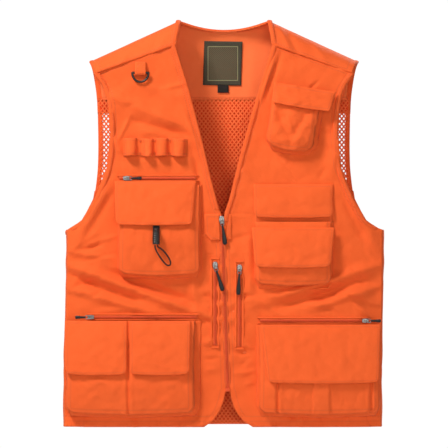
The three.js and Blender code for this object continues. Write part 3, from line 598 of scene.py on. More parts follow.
P, E = yoke_sheet(225, 219, 0, 0.5, 558.5, 96, 34, 1.2)
grid("back_yoke_cloth", P, M_SHELL, want=(0, 1, 0), body="vest_body", replaces=("back_yoke",), ed=E, thick=1.2)
P, E = yoke_sheet(218, 210, 4.2, 3.5, 560, 96, 34, -0.8)
P[:, :, 1] -= 1.4 * crease(P[:, :, 0], P[:, :, 2], (-50, 640), (-62, 575), 7, 1.0) + 1.2 * crease(P[:, :, 0], P[:, :, 2], (52, 650), (44, 566), 8, 1.0)
grid("yoke_lining_cloth", P, M_LINING, want=(0, -1, 0), body="vest_body", replaces=("back_yoke_lining",), ed=E - 1.0, thick=0.9)
LINING = P

# ------------------------------------------------------------- knit lining
def knit(name, inside, x0, x1, z0, z1, ysurf, px=7.0, pz=4.5, hole=0.52, replaces=()):
    """A warp-knit mesh: rounded diamond holes in staggered rows, cut as real holes."""
    V, F = [], []
    k = 0
    rows = int((z1 - z0) / pz)
    for r_ in range(rows):
        zc = z0 + (r_ + 0.5) * pz
        for c_ in range(int((x1 - x0) / px)):
            xc = x0 + (c_ + 0.5 + 0.5 * (r_ % 2)) * px
            if not inside(xc, zc):
                continue
            hx, hz = px / 2, pz
            outer = [(-hx, 0), (-hx * 0.0, -hz * 0.98), (hx, 0), (0, hz * 0.98)]
            # the cell is a diamond that shares its sides with its four neighbours
            ring_o = [(-hx, 0), (-hx / 2, -hz / 2), (0, -hz), (hx / 2, -hz / 2), (hx, 0), (hx / 2, hz / 2), (0, hz), (-hx / 2, hz / 2)]
            a = hole
            ring_i = [(-hx * a, 0), (-hx * 0.42 * a * 1.25, -hz * 0.42 * a * 1.25), (0, -hz * a), (hx * 0.42 * a * 1.25, -hz * 0.42 * a * 1.25), (hx * a, 0), (hx * 0.42 * a * 1.25, hz * 0.42 * a * 1.25), (0, hz * a), (-hx * 0.42 * a * 1.25, hz * 0.42 * a * 1.25)]
            for q in ring_o:
                V.append((xc + q[0], 0, zc + q[1]))
            for q in ring_i:
                V.append((xc + q[0], -0.5, zc + q[1]))
            for j in range(8):
                F.append((k + j, k + (j + 1) % 8, k + 8 + (j + 1) % 8, k + 8 + j))
            k += 16
    V = np.array(V)
    V[:, 1] += ysurf(V[:, 0], V[:, 2])
    return mk(name, V, F, M_MESH, body="vest_body", slot="orange_mesh", replaces=replaces, smooth=False)


def lining_y(x, z):
    return 33.2 - 4.0 * smoothstep(215, 262, np.abs(x)) + 1.6 * wavy(x, z, 110, 7) + crease(x, z, (-30, 540), (-60, 400), 14, -3.0) + crease(x, z, (20, 550), (36, 420), 16, -2.6)


knit("mesh_lining", lambda x, z: abs(x) < float(half_back(np.array(z))) - 5 and 6 < z < 560, -266, 266, 4, 562, lining_y, replaces=("back_mesh_lining",))


# ---------------------------------------------------------------- bindings
def band(name, centre, across, width, bulge, mat, body, closed=False, replaces=(), slot="orange_binding", wobble=0.0, thick_in=2.0):
    """A folded binding along a line: `across` points from its free edge to its inner edge."""
    C, A = np.asarray(centre, float), np.asarray(across, float)
    n = len(C)
    T = np.roll(C, -1, 0) - np.roll(C, 1, 0)
    if not closed:
        T[0], T[-1] = C[1] - C[0], C[-1] - C[-2]
    T /= np.linalg.norm(T, axis=1)[:, None] + 1e-9
    A = A / (np.linalg.norm(A, axis=1)[:, None] + 1e-9)
    Nn = np.cross(T, A)
    Nn /= np.linalg.norm(Nn, axis=1)[:, None] + 1e-9
    prof = [(1.0, 0.35), (0.8, 0.95), (0.45, 1.15), (0.15, 0.9), (0.0, 0.0), (0.15, -0.9), (0.45, -1.15), (0.8, -0.95), (1.0, -0.35)]
    P = np.zeros((n, len(prof), 3))
    E = np.zeros((n, len(prof)))
    sarc = np.r_[0, np.cumsum(np.linalg.norm(np.diff(C, axis=0), axis=1))]
    for j, (a, b) in enumerate(prof):
        w = wobble * (np.sin(sarc / 3.1 + 2 * np.sin(sarc / 23)) * math.sin(a * math.pi))
        P[:, j] = C + A * (a * width) + Nn * ((b * bulge) + np.sign(b) * w)[:, None]
        E[:, j] = (1 - a) * width
    V = P.reshape(-1, 3)
    m = len(prof)
    F = quads(n, m, wrap_i=closed, wrap_j=True)
    o = mk(name, V, F, mat, body=body, slot=slot, replaces=replaces, ed=E)
    return o


for s, side in ((-1, "right"), (1, "left")):
    F_ = [(s * x, z) for x, z in ARM_F][1:]
    B_ = [(s * x, z) for x, z in ARM_B][1:]
    pts = [(s * 231, 0, 624), (s * 227, -22, 617), (s * 220.5, -38, 602)]
    pts += [(x, float(front_y(x, z)) - 0.2, z) for x, z in F_[1:-1]]
    pts += [(s * 262, float(front_y(s * 262, 340)) + 1, 340), (s * 269.5, -12, 336.5), (s * 269.5, 12, 336.5), (s * 262, float(back_y(s * 262.0, 340.0)) - 1, 340)]
    pts += [(x, float(back_y(x, z)) + 0.4, z) for x, z in B_[1:-1][::-1]]
    pts += [(s * 224, 37, 597), (s * 228, 22, 617)]
    C = curve(pts, 300, closed=True)
    # the direction across the binding lies in the cloth, away from the opening
    mid = np.array([s * 262.0, 0, 470.0])
    T = np.roll(C, -1, 0) - np.roll(C, 1, 0)
    T /= np.linalg.norm(T, axis=1)[:, None]
    A = np.zeros_like(C)
    for i, c in enumerate(C):
        if abs(c[1]) > 30 or c[2] > 590:
            a = np.array([-s * 1.0, 0, 0]) if c[2] > 420 else np.array([-s * 0.75, 0, -0.75])
            if c[2] > 600:
                a = np.array([-s * 1.0, 0, 0.35])
        else:
            a = np.array([0, 0, -1.0])
        a = a - T[i] * np.dot(a, T[i])
        A[i] = a / np.linalg.norm(a)
    for _ in range(10):
        A = (np.roll(A, 1, 0) + A * 2 + np.roll(A, -1, 0)) / 4
    band(f"{side}_arm_binding", C, A, 8.0, 1.5, M_BIND, "vest_body", closed=True, replaces=(f"{side}_armhole_binding",), wobble=0.18)

# neck: two front edges and the back neck
for s, side, hinge in ((-1, "right", -34.0), (1, "left", 42.0)):
    zz = np.r_[np.linspace(694.5, 654, 10), np.linspace(650, 352 if s > 0 else 372, 120)]
    pts = []
    for z in zz:
        x = float(inner_edge(s, z))
        y = -38 * math.sin(min(1.0, math.acos(max(-1, min(1, 1 - (695.5 - z) / 44.5))) / (math.pi / 2)) * math.pi / 2) if z > 651 else float(front_y(x, z))
        pts.append((x, y - 0.4, z))
    C = curve(pts, 190)
    A = np.zeros_like(C)
    A[:, 0] = s
    o = band(f"{side}_v_facing", C, A, 8.4, 1.3, M_BIND, None, wobble=0.2)
    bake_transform(o)
C = curve([(x, top_of(x)[0] + (0 if abs(x) < 76 else 0), top_of(x)[1]) for x in np.linspace(-77, 77, 15)], 90)
A = np.zeros_like(C)
A[:, 2] = -1
A[:, 1] = 0.75 * (1 - np.abs(C[:, 0]) / 80)
A[:, 0] = 0.9 * np.sign(C[:, 0]) * np.clip((np.abs(C[:, 0]) - 50) / 26, 0, 1)
band("back_neck_binding", C, A, 6.5, 1.4, M_BIND, "vest_body", replaces=("neck_binding",), wobble=0.12)


# ----------------------------------------------------------------- pockets
BAGY = -38.35


def tilted(P, cx=83.5, cz=587.4, deg=9.2):
    P = np.array(P, float)
    a = math.radians(deg)
    x, z = P[..., 0] - cx, P[..., 2] - cz
    P[..., 0] = cx + x * math.cos(a) + z * math.sin(a)
    P[..., 2] = cz - x * math.sin(a) + z * math.cos(a)
    return P


def pocket(name, x0, x1, z0, z1, d_top, d_low, replaces, inset=5.0, bottom=8.0, seed=11, bulge=4.0, tilt=False, pleat=None, n=54, m=50, gus=None, seams=(), dents=(), corner=9.0, crush=1.0):
    """A sewn bag: a full front face, bellows sides and bottom, topstitched edges, open at the top under its flap."""
    u = np.linspace(0, 1, n)[:, None]
    v = np.linspace(0, 1, m)[None, :]
    gl, gr = gus or (inset, inset)
    L0, L1 = x0 + gl, x1 - gr
    X = L0 + (L1 - L0) * u + 0 * v
    Zt, Zb = z1 - 1.5, z0 + bottom

    def depth_at(x, z, edge=True):
        x, z = np.asarray(x, float), np.asarray(z, float)
        uu = np.clip((x - L0) / (L1 - L0), 0, 1)
        vv = np.clip((Zt - z) / (Zt - Zb), 0, 1)
        d = d_top + (d_low - d_top) * vv ** 0.8 * (1 - 0.42 * smoothstep(0.62, 1.0, vv))
        d = d + bulge * (1 - np.abs(2 * uu - 1) ** 3.2) * (0.35 + 0.65 * np.sin(math.pi * vv * 0.92))
        w = crush * (1.8 * wavy(x, z, 62, seed) + 1.1 * wavy(x, z, 27, seed + 1) + 0.45 * wavy(x, z, 12, seed + 2))
        d = d + w * (1 - np.abs(2 * uu - 1) ** 8)
        for xs in (seams if edge else ()):
            d = d - 3.2 * np.exp(-((x - xs) / 1.9) ** 2) + 1.0 * np.exp(-((np.abs(x - xs) - 6) / 3.0) ** 2)
        for q0, q1, wd, am in (dents if edge else ()):
            d = d + crease(x, z, q0, q1, wd, am)
        if edge:
            d = d - 2.6 * np.abs(2 * uu - 1) ** 14 - 3.4 * vv ** 16
        return np.maximum(d, 2.0)

    Z = Zt + (Zb - Zt) * v + 0 * u
    hh = np.clip(Z - Zb, 0, corner)
    cut = corner - np.sqrt(np.maximum(corner ** 2 - (corner - hh) ** 2, 0))
    cut = cut + 1.6 * np.sin(math.pi * np.clip(v * 0.9, 0, 1))
    X = (L0 + cut) + (L1 - L0 - 2 * cut) * u
    depth = depth_at(X, Z)
    Z = Z - 3.0 * np.sin(math.pi * u) * v ** 3  # the bottom edge hangs lower in the middle
    if pleat:
        a, b = pleat
        depth = depth + 2.6 * (smoothstep(a - 1.2, a + 1.2, X) - smoothstep(b - 1.2, b + 1.2, X))
    rings = [np.stack([X, BAGY - depth, Z], -1)]
    # the loop round the left, bottom and right of the face, carried back to the body
    P = rings[0]
    idx = [(0, j) for j in range(m)] + [(i, m - 1) for i in range(1, n)] + [(n - 1, j) for j in range(m - 2, -1, -1)]
    loop = np.array([P[i, j] for i, j in idx])
    sx = np.array([(-1 if i == 0 else 1 if i == n - 1 else 0) for i, j in idx], float)
    sz = np.array([(-1 if j == m - 1 else 0) for i, j in idx], float)
    V = [p for p in P.reshape(-1, 3)]
    uu, vv = u + 0 * v, v + 0 * u
    ED = list(np.minimum.reduce([(L1 - L0) * uu, (L1 - L0) * (1 - uu), (Zt - Zb) * (1 - vv)]).ravel())
    F = quads(n, m)
    if not facing(P, (0, -1, 0)):
        F = [q[::-1] for q in F]
    prev = [i * m + j for i, j in idx]
    fold_n = len(idx)
    s_arc = np.arange(fold_n)
    #            back towards the body, outwards, as fractions: rim, wall, crease of the bellows, wall, base
    for k, (t, o_) in enumerate(((0.03, 0.35), (0.12, 0.22), (0.36, 0.05), (0.52, -0.30), (0.66, 0.25), (0.86, 0.85), (1.0, 1.0))):
        wob = (0.8 * np.sin(s_arc / 5.1 + k) + 0.7 * np.sin(s_arc / 2.3 + 2 * k)) * (0.4 + 0.6 * (0 < k < 6))
        q = loop.copy()
        dd = BAGY - loop[:, 1]
        q[:, 1] = BAGY - dd * (1 - t) + (1 - t) * 0
        if t == 1.0:
            q[:, 1] = front_y(loop[:, 0], loop[:, 2]) + 0.2
        gw = np.where(sx < 0, gl, gr)
        q[:, 0] += sx * (gw * o_ + wob * (0.6 if t < 1 else 0) * (1 + (gw > 10) * 1.6))
        q[:, 2] += sz * (bottom * o_ + wob * (0.8 if t < 1 else 0))
        b0 = len(V)
        V += list(q)
        ED += [(1.8 if k == 0 else 30.0)] * fold_n
        for a in range(fold_n - 1):
            F.append((prev[a], prev[a + 1], b0 + a + 1, b0 + a))
        prev = [b0 + a for a in range(fold_n)]
    V = np.array(V)
    # same facing for the walls as for the face
    nF = (n - 1) * (m - 1)
    a, b, c = V[F[nF][0]], V[F[nF][1]], V[F[nF][2]]
    nrm = np.cross(b - a, c - a)
    if nrm[0] > 0:  # the first wall is on the low-x side and must face -x
        F = F[:nF] + [q[::-1] for q in F[nF:]]
    if tilt:
        V = tilted(V)
    mk(name, V, F, M_SHELL, body="vest_body", replaces=replaces, ed=np.array(ED), thick=1.1, off=-1)
    return depth_at


def flap(name, outline, d_top, d_end, body, replaces, seed=20, r=6.0, tilt=False, n=44, m=30, puff=1.6, crush=1.0, thick=1.7, over=None, gap=(1.2, 6.2)):
    """A pocket flap: hangs from its top edge, its lower corners rounded, its edge turned and topstitched."""
    (xa, xb, zt), (xc, xd, zb) = outline
    P, E = np.zeros((n, m, 3)), np.zeros((n, m))
    tv = 1 - (1 - np.linspace(0, 1, m)) ** 1.35
    tu = 0.5 - 0.5 * np.cos(math.pi * np.linspace(0, 1, n))
    tu = 0.45 * tu + 0.55 * np.linspace(0, 1, n)
    for j, v in enumerate(tv):
        z = zt + (zb - zt) * v
        left, right = xa + (xc - xa) * v, xb + (xd - xb) * v
        h = z - zb
        cut = r - math.sqrt(max(0, r * r - (r - h) ** 2)) if h < r else 0.0
        for i, u in enumerate(tu):
            x = (left + cut) + (right - left - 2 * cut) * u
            dx = min(x - left, right - x)
            e = min(dx, h)
            d = d_top + (d_end - d_top) * v
            if over is not None:
                d = float(over(x, z, False)) + gap[0] + (gap[1] - gap[0]) * v ** 1.4
            up = puff * max(0.0, min(1, e / 9)) ** 0.7 * math.sin(math.pi * min(1, 0.12 + 0.8 * v))
            roll = -1.5 * max(0, 1 - e / 2.2) ** 2
            w = (1.1 * float(wavy(x, z, 60, seed)) + 0.5 * float(wavy(x, z, 22, seed + 1))) * min(1, v * 3) * crush
            zz = z - 1.2 * math.sin(math.pi * u) * v
            # folds over its hinge line at the top
            top = 2.0 * math.exp(-(v * (zt - zb) / 3.0) ** 2)
            P[i, j] = (x, BAGY - d - 1.2 - up - roll - w + top, zz)
            E[i, j] = min(e, (zt - z) + 0.5 if v > 0.02 else 0.5)
    if tilt:
        P = tilted(P)
    o = grid(name, P, M_SHELL, want=(0, -1, 0), body=body, replaces=replaces, ed=E, thick=thick)
    b = o.modifiers.new("soft", "BEVEL")
    b.width, b.segments, b.limit_method, b.angle_limit = 0.0007, 2, "ANGLE", math.radians(50)
    return o


over = pocket("right_chest_bag", -182, -37, 256, 415, 7, 20, ("right_chest_pocket",), seed=11, bulge=5.0, bottom=9, gus=(5, 6))
flap("right_chest_lid", ((-186, -47, 419.5), (-183.5, -53.5, 345.5)), 9.4, 19.5, "right_chest_flap", ("right_chest_flap",), seed=20, over=over, r=10)
over = pocket("small_bag", 85, 177, 474, 573, 7, 19, ("small_pocket",), seed=13, bulge=5.0, tilt=True, bottom=9, gus=(3, 12), dents=(((96, 545), (126, 500), 6, -4.0), ((150, 548), (132, 505), 6, -3.2), ((104, 492), (150, 500), 6, 3.0), ((120, 540), (160, 520), 5, 2.2)), crush=1.5, corner=14)
flap("small_lid", ((85, 191, 588), (86, 186, 553)), 9.4, 14, "small_pocket_flap", ("small_pocket_flap",), seed=22, tilt=True, r=5, over=over)
# middle pocket: an upper compartment under the top flap, and a lower bellows bag
over = pocket("mid_bag", 50, 187, 238, 352, 7, 19, ("mid_pocket",), seed=15, bulge=4.5, bottom=10, gus=(5, 7))
flap("mid_lower_lid", ((47, 188, 341), (52, 181, 273.5)), 11.2, 22, "mid_pocket_lower_flap", ("mid_pocket_lower_flap",), seed=26, r=13, over=over)
u, v = np.linspace(0, 1, 40)[:, None], np.linspace(0, 1, 24)[None, :]
X = 52 + (184 - 52) * u + 0 * v
Z = 412 + (343 - 412) * v + 0 * u


def upper_depth(x, z, edge=True):
    x, z = np.asarray(x, float), np.asarray(z, float)
    uu, vv = np.clip((x - 52) / 132, 0, 1), np.clip((412 - z) / 69, 0, 1)
    return np.maximum(0.4, BAGY - front_y(x, z)) + 0.8 + 2.6 * np.sin(math.pi * uu) ** 0.5 * np.sin(math.pi * np.clip(0.1 + 0.8 * vv, 0, 1))


P = np.stack([X, BAGY - upper_depth(X, Z), Z], -1)
grid("mid_upper_compartment", P, M_SHELL, body="vest_body", ed=np.minimum.reduce([(X - 52), (184 - X), Z - 343]), thick=1.0)
flap("mid_upper_lid", ((50, 186, 414.5), (50.5, 186, 358.0)), 3.6, 8.5, "mid_pocket_upper_flap", ("mid_pocket_upper_flap",), seed=24, r=12, over=upper_depth, gap=(0.9, 4.4))
over = pocket("right_lower_bag", -270, -38, 20.5, 184, 7, 24, ("right_lower_pocket",), seed=17, bulge=4.5, bottom=9, n=110, gus=(5, 17), seams=(-162,), dents=(((-75, 170), (-66, 60), 5, -2.0),))
flap("right_lower_lid_a", ((-270.5, -164, 182.5), (-268.5, -164.5, 92.0)), 9.2, 22, "right_lower_flap_a", ("right_lower_flap_a",), seed=28, r=13, over=over)
flap("right_lower_lid_b", ((-160, -56.5, 182.5), (-159.5, -58, 92.0)), 9.2, 22, "right_lower_flap_b", ("right_lower_flap_b",), seed=30, r=13, over=over)
over = pocket("left_lower_bag", 54, 267, 20.5, 177, 7, 24, ("left_lower_pocket",), seed=19, bulge=4.5, bottom=9, n=110, gus=(8, 6), pleat=(151, 179), seams=(91, 250))
flap("left_lower_lid", ((62, 266, 176.5), (74, 262.5, 78.0)), 9.2, 24, "left_lower_flap", ("left_lower_flap",), seed=32, r=12, n=60, over=over)

# ---------------------------------------------------- coil zips and sliders
def merge(parts):
    V, F = [], []
    for v, f in parts:
        k = len(V)
        V += [tuple(p) for p in v]
        F += [tuple(i + k for i in q) for q in f]
    return V, F


def rbox(cx, cy, cz, sx, sy, sz):
    v = [(cx + a * sx / 2, cy + b * sy / 2, cz + c * sz / 2) for a in (-1, 1) for b in (-1, 1) for c in (-1, 1)]
    f = [(0, 1, 3, 2), (4, 6, 7, 5), (0, 4, 5, 1), (2, 3, 7, 6), (0, 2, 6, 4), (1, 5, 7, 3)]
    return v, f


def spin(v, c, ax, deg):
    a = math.radians(deg)
    out = []
    i, j = {"x": (1, 2), "y": (0, 2), "z": (0, 1)}[ax]
    for p in v:
        q = list(p)
        u_, w_ = p[i] - c[i], p[j] - c[j]
        q[i], q[j] = c[i] + u_ * math.cos(a) - w_ * math.sin(a), c[j] + u_ * math.sin(a) + w_ * math.cos(a)
        out.append(tuple(q))
    return out


def coil(name, p, q, y_of, half, body, replaces=(), width=2.3, pitch=1.25, side=0):
    """Coil teeth from p to q in x and z. half: -1 or 1 for one half, 0 for both meshed."""
    p, q = np.array(p, float), np.array(q, float)
    L = np.hypot(*(q - p))
    d = (q - p) / L
    nrm = np.array([-d[1], d[0]])
    parts = []
    k = int(L / pitch)
    for i in range(k):
        for h in ((half,) if half else (-1, 1)):
            c = p + d * pitch * (i + (0.5 if h > 0 else 0.0)) + nrm * h * (width * 0.36)
            y = float(y_of(c[0], c[1]))
            w = width
            vv = []
            for a, b in ((-0.5, 0.1), (-0.34, 0.75), (0.0, 1.0), (0.34, 0.75), (0.5, 0.1)):
                for e in (-0.5, 0.5):
                    pt = c + nrm * a * w + d * e * pitch * 0.62
                    vv.append((pt[0], y - b * 1.15, pt[1]))
            ff = [(2 * j, 2 * j + 1, 2 * j + 3, 2 * j + 2) for j in range(4)] + [(0, 2, 4, 6, 8), (9, 7, 5, 3, 1)]
            parts.append((vv, ff))
    V, F = merge(parts)
    return mk(name, V, F, M_COIL, body=body, slot="zip_tape", replaces=replaces, smooth=False)


def strip(name, pts, half_w, y_of, body, replaces=(), mat=None, lift=0.5, n=60, slot="zip_tape"):
    """A tape along points in x and z, lying on the cloth."""
    C = curve([(a, 0, b) for a, b in pts], n)
    d = np.gradient(C, axis=0)
    d /= np.linalg.norm(d, axis=1)[:, None]
    nr = np.stack([-d[:, 2], 0 * d[:, 0], d[:, 0]], 1)
    P = np.zeros((n, 5, 3))
    for j, t in enumerate((-1, -0.5, 0, 0.5, 1)):
        Q = C + nr * half_w * t
        Q[:, 1] = [float(y_of(a, b)) for a, b in Q[:, [0, 2]]]
        Q[:, 1] -= lift * (1 - 0.25 * abs(t))
        P[:, j] = Q
    ED = np.array([[half_w * (1 - abs(t)) for t in (-1, -0.5, 0, 0.5, 1)]] * n)
    return grid(name, P, mat or M_TAPE, body=body, slot=slot, replaces=replaces, ed=ED, thick=0.6)


def slider(name, x, y, z, body, replaces, deg=0.0, k=1.0):
    """A zip slider seen from the front: a tapered shield, side flanges, and an arched bridge for the pull. y is its rear face."""
    out = [(-3.0, 6.2), (-4.2, 3.2), (-4.3, 0), (-3.5, -4.2), (-3.1, -6.2), (3.1, -6.2), (3.5, -4.2), (4.3, 0), (4.2, 3.2), (3.0, 6.2), (0.9, 6.9), (-0.9, 6.9)]
    out = [(a * k, b * k) for a, b in out]
    parts = []
    lv = [(1.0, 0.0), (1.0, -1.1), (0.84, -1.8)]
    V, F = [], []
    for s_, h in lv:
        V += [(x + a * s_, y + h, z + b * s_) for a, b in out]
    nn = len(out)
    for l_ in range(len(lv) - 1):
        for i in range(nn):
            F.append((l_ * nn + i, l_ * nn + (i + 1) % nn, (l_ + 1) * nn + (i + 1) % nn, (l_ + 1) * nn + i))
    F.append(tuple(range(nn)))
    F.append(tuple(reversed(range((len(lv) - 1) * nn, len(lv) * nn))))
    parts.append((V, F))
    # bridge
    bv, bf = [], []
    arc = [(4.6, -1.4), (4.2, -3.2), (2.4, -4.3), (0.0, -4.5), (-2.2, -4.1), (-3.6, -2.9), (-4.0, -1.4)]
    inn = [(3.3, -1.4), (3.0, -2.5), (1.8, -3.2), (0.0, -3.4), (-1.6, -3.1), (-2.6, -2.3), (-2.9, -1.4)]
    for w in (-0.95, 0.95):
        for a, b in arc + inn[::-1]:
            bv.append((x + w * k, y + b, z + a * k))
    nb = len(arc) * 2
    for i in range(nb):
        bf.append((i, (i + 1) % nb, nb + (i + 1) % nb, nb + i))
    for i in range(len(arc) - 1):
        bf.append((i, nb - 1 - i, nb - 2 - i, i + 1))
        bf.append((nb + i, nb + i + 1, nb + nb - 2 - i, nb + nb - 1 - i))
    parts.append((bv, bf))
    V, F = merge(parts)
    V = spin(V, (x, y, z), "y", deg)
    o = mk(name, V, F, M_STEEL, body=body, slot="steel", replaces=replaces, smooth=False, bevel=0.35)
    return o


def loft(sections):
    """Closed sections of equal count, capped."""
    n, m = len(sections), len(sections[0])
    V = [p for s_ in sections for p in s_]
    F = [(i * m + j, i * m + (j + 1) % m, (i + 1) * m + (j + 1) % m, (i + 1) * m + j) for i in range(n - 1) for j in range(m)]
    F += [tuple(reversed(range(m))), tuple(range((n - 1) * m, n * m))]
    return V, F


def wire(points, r, sides=8, closed=False):
    C = np.asarray(points, float)
    n = len(C)
    T = np.roll(C, -1, 0) - np.roll(C, 1, 0)
    if not closed:
        T[0], T[-1] = C[1] - C[0], C[-1] - C[-2]
    T /= np.linalg.norm(T, axis=1)[:, None]
    ref = np.array([0, 1.0, 0])
    V, F = [], []
    for i in range(n):
        a = np.cross(T[i], ref)
        if np.linalg.norm(a) < 0.2:
            a = np.cross(T[i], [1.0, 0, 0])
        a /= np.linalg.norm(a)
        b = np.cross(T[i], a)
        for j in range(sides):
            t = 2 * math.pi * j / sides
            V.append(tuple(C[i] + r * (math.cos(t) * a + math.sin(t) * b)))
    for i in range(n if closed else n - 1):
        for j in range(sides):
            F.append((i * sides + j, ((i + 1) % n) * sides + j, ((i + 1) % n) * sides + (j + 1) % sides, i * sides + (j + 1) % sides))
    if not closed:
        F += [tuple(range(sides)), tuple(reversed(range((n - 1) * sides, n * sides)))]
    return V, F


def pull(name, x, y, z, length, lean, body, replaces, wide=5.6, turn=None):
    """A zip pull at rest: a plated wire link and a moulded grip with ribs, hanging from (x, y, z)."""
    lk = []
    for t in np.linspace(0, 2 * math.pi, 28, endpoint=False):
        wx = 2.9 * math.sin(t) * (1.0 - 0.25 * math.cos(t))
        lk.append((wx, 0, -4.2 + 5.3 * math.cos(t)))
    LV, LF = wire(lk, 0.7, 8, closed=True)
    secs = []
    ln = length
    stations = [(8.0, 0.9, 0.9), (8.6, 1.5, 1.25), (10.5, 1.7, 1.3), (13, 1.9, 1.35), (13.8, 1.55, 1.0), (14.6, 2.0, 1.4), (16.4, 2.1, 1.4), (17.1, 1.75, 1.05), (17.9, 2.2, 1.45),
                (20, 2.35, 1.5), (0.55 * ln, 2.5, 1.5), (0.75 * ln, wide / 2, 1.5), (0.93 * ln, wide / 2, 1.45), (0.98 * ln, wide / 2 * 0.8, 1.1), (ln, wide / 2 * 0.45, 0.5)]
    stations = [s_ for s_ in stations if s_[0] <= 20 or s_[0] > 20.5]
    stations = sorted(stations)
    for d, hw, ht in stations:
        secs.append([(hw * math.copysign(abs(math.cos(t)) ** 0.6, math.cos(t)), ht * math.copysign(abs(math.sin(t)) ** 0.6, math.sin(t)), -d) for t in np.linspace(0, 2 * math.pi, 16, endpoint=False)])
    GV, GF = loft(secs)
    slot = wire([(0.0, 0, -8.3), (0.0, 0, -9.6)], 0.4, 6)
    for nm, (V, F), mat, sl in ((name + "_link", (LV, LF), M_STEEL, "steel"), (name + "_grip", (GV, GF), M_RUBBER, "black_grip")):
        V = spin(V, (0, 0, 0), "y", lean)
        if turn:
            V = spin(V, (0, 0, 0), "y", turn)
        V = [(a + x, b + y, c + z) for a, b, c in V]
        mk(nm, V, F, mat, body=body, slot=sl, replaces=replaces if nm.endswith("grip") else ())


# front zip
tapeY = lambda x, z: front_y(x, z) + 0.4
for s, side in ((-1, "right"), (1, "left")):
    pts = [(zip_x(z) + s * 3.0, z) for z in (67, 120, 180, 240, 300, 345 if s < 0 else 340)]
    strip(f"{side}_zip_tape", pts, 2.6, tapeY, f"{side}_placket", replaces=(f"main_zip_{side}",), lift=0.9)
    coil(f"{side}_zip_coil", (zip_x(68), 68), (zip_x(345 if s < 0 else 340), 345 if s < 0 else 340), lambda x, z: front_y(x, z) - 0.6, -1 if s > 0 else 1, f"{side}_placket")
bx = zip_x(65)
V, F = merge([rbox(bx - 0.2, float(front_y(bx, 65)) - 0.6, 65.2, 8.2, 3.4, 6.4), rbox(bx - 0.2, float(front_y(bx, 65)) - 2.2, 65.4, 4.0, 0.8, 4.0)])
mk("zip_foot_box", V, F, M_COIL, body="right_placket", slot="zip_tape", smooth=False, bevel=0.5)
V, F = rbox(zip_x(72) + 1.3, float(front_y(zip_x(72), 72)) - 0.9, 73.0, 1.6, 2.0, 7.0)
mk("zip_foot_pin", V, F, M_COIL, body="left_placket", slot="zip_tape", smooth=False, bevel=0.4)
LEAN = math.degrees(math.atan2(10, 278))
slider("main_slider_shield", zip_x(353.5) , -38 - 0.9, 353.5, "main_slider", ("main_zip_slider",), deg=LEAN, k=1.0)
pull("main_pull", zip_x(354), -42.8, 353.4, 42, 8.0, "main_pull", ("main_zip_pull",), wide=7.4)

# tab across the zip, in two pieces
def tab(name, pts, body, replaces, y0, ed_sides):
    P = np.zeros((26, 26, 3))
    E = np.zeros((26, 26))
    (a, b), (c, d) = pts  # top-left, top-right, bottom-left, bottom-right corners
    for i, u_ in enumerate(np.linspace(0, 1, 26)):
        for j, v_ in enumerate(np.linspace(0, 1, 26)):
            p = (np.array(a) * (1 - u_) + np.array(b) * u_) * (1 - v_) + (np.array(c) * (1 - u_) + np.array(d) * u_) * v_
            x, z = p
            if name == "zip_tab_cloth":  # its lower outer corner is cut off
                lim = -34 + max(0.0, (332 - z)) * 0.92
                x = max(x, lim)
            e = min((x - (-34)) if name == "zip_tab_cloth" else (12 - x), z - 318.5, 363.5 - z)
            if name == "zip_tab_cloth":
                e = min(e, (x - (-34) - max(0.0, (332 - z)) * 0.92) * 0.75 + (0 if z < 332 else 0))
            P[i, j] = (x, -38 - 1.7 - 0.6 * min(1, max(0, e) / 3) - 0.5 * wavy(x, z, 20, 9), z)
            E[i, j] = max(0, e)
    return grid(name, P, M_SHELL, body=body, replaces=replaces, ed=E, thick=1.3)


tab("zip_tab_cloth", (((-34, 363.8), (zip_x(363) - 4.4, 363.8)), ((-34, 317.6), (zip_x(318) - 4.4, 319.6))), "right_placket", ("zip_tab",), 0, None)
tab("zip_tab_base_cloth", (((zip_x(363) + 13, 363.8), (12, 363.8)), ((zip_x(320) + 4.4, 320.2), (12, 320.2))), "left_placket", ("zip_tab_base",), 0, None)

# vertical zip pockets
for side, x, top, low, lean in (("right", -15, 284, 141, 17.0), ("left", 26.5, 279, 138.5, -3.0)):
    yy = lambda a, b: front_y(a, b) + 0.6
    strip(f"{side}_vzip_tape", [(x, low), (x, (low + top) / 2), (x, top)], 3.4, yy, f"{side}_placket", replaces=(f"{side}_vertical_zip",), lift=0.8)
    coil(f"{side}_vzip_coil", (x, low + 1), (x, top - 2), lambda a, b: front_y(a, b) - 0.1, 0, f"{side}_placket", width=1.9, pitch=1.2)
    for e in (-1, 1):
        C = curve([(x + e * 4.6, float(front_y(x + e * 5, z)) - 0.5, z) for z in np.linspace(low - 1, top + 1, 12)], 70)
        A = np.zeros_like(C)
        A[:, 0] = e
        band(f"{side}_vzip_welt_{'a' if e < 0 else 'b'}", C, A, 3.2, 0.9, M_SHELL, f"{side}_placket", slot="orange_shell", wobble=0.25)
    for zc, nm in ((low - 2.2, "foot"), (top + 2.2, "head")):
        C = curve([(x - 7, float(front_y(x - 7, zc)) - 0.6, zc), (x, float(front_y(x, zc)) - 0.9, zc), (x + 7, float(front_y(x + 7, zc)) - 0.6, zc)], 16)
        A = np.zeros_like(C)
        A[:, 2] = -1 if nm == "foot" else 1
        band(f"{side}_vzip_{nm}", C, A, 3.4, 0.8, M_SHELL, f"{side}_placket", slot="orange_shell")
    slider(f"{side}_vertical_shield", x, -38 - 1.9, top - 7.5, f"{side}_vertical_slider", (f"{side}_vertical_slider",), k=0.9)
    pull(f"{side}_vertical_hang", x, -43.9, top - 8.6, 44, lean, f"{side}_vertical_pull", (f"{side}_vertical_pull",), wide=7.2)

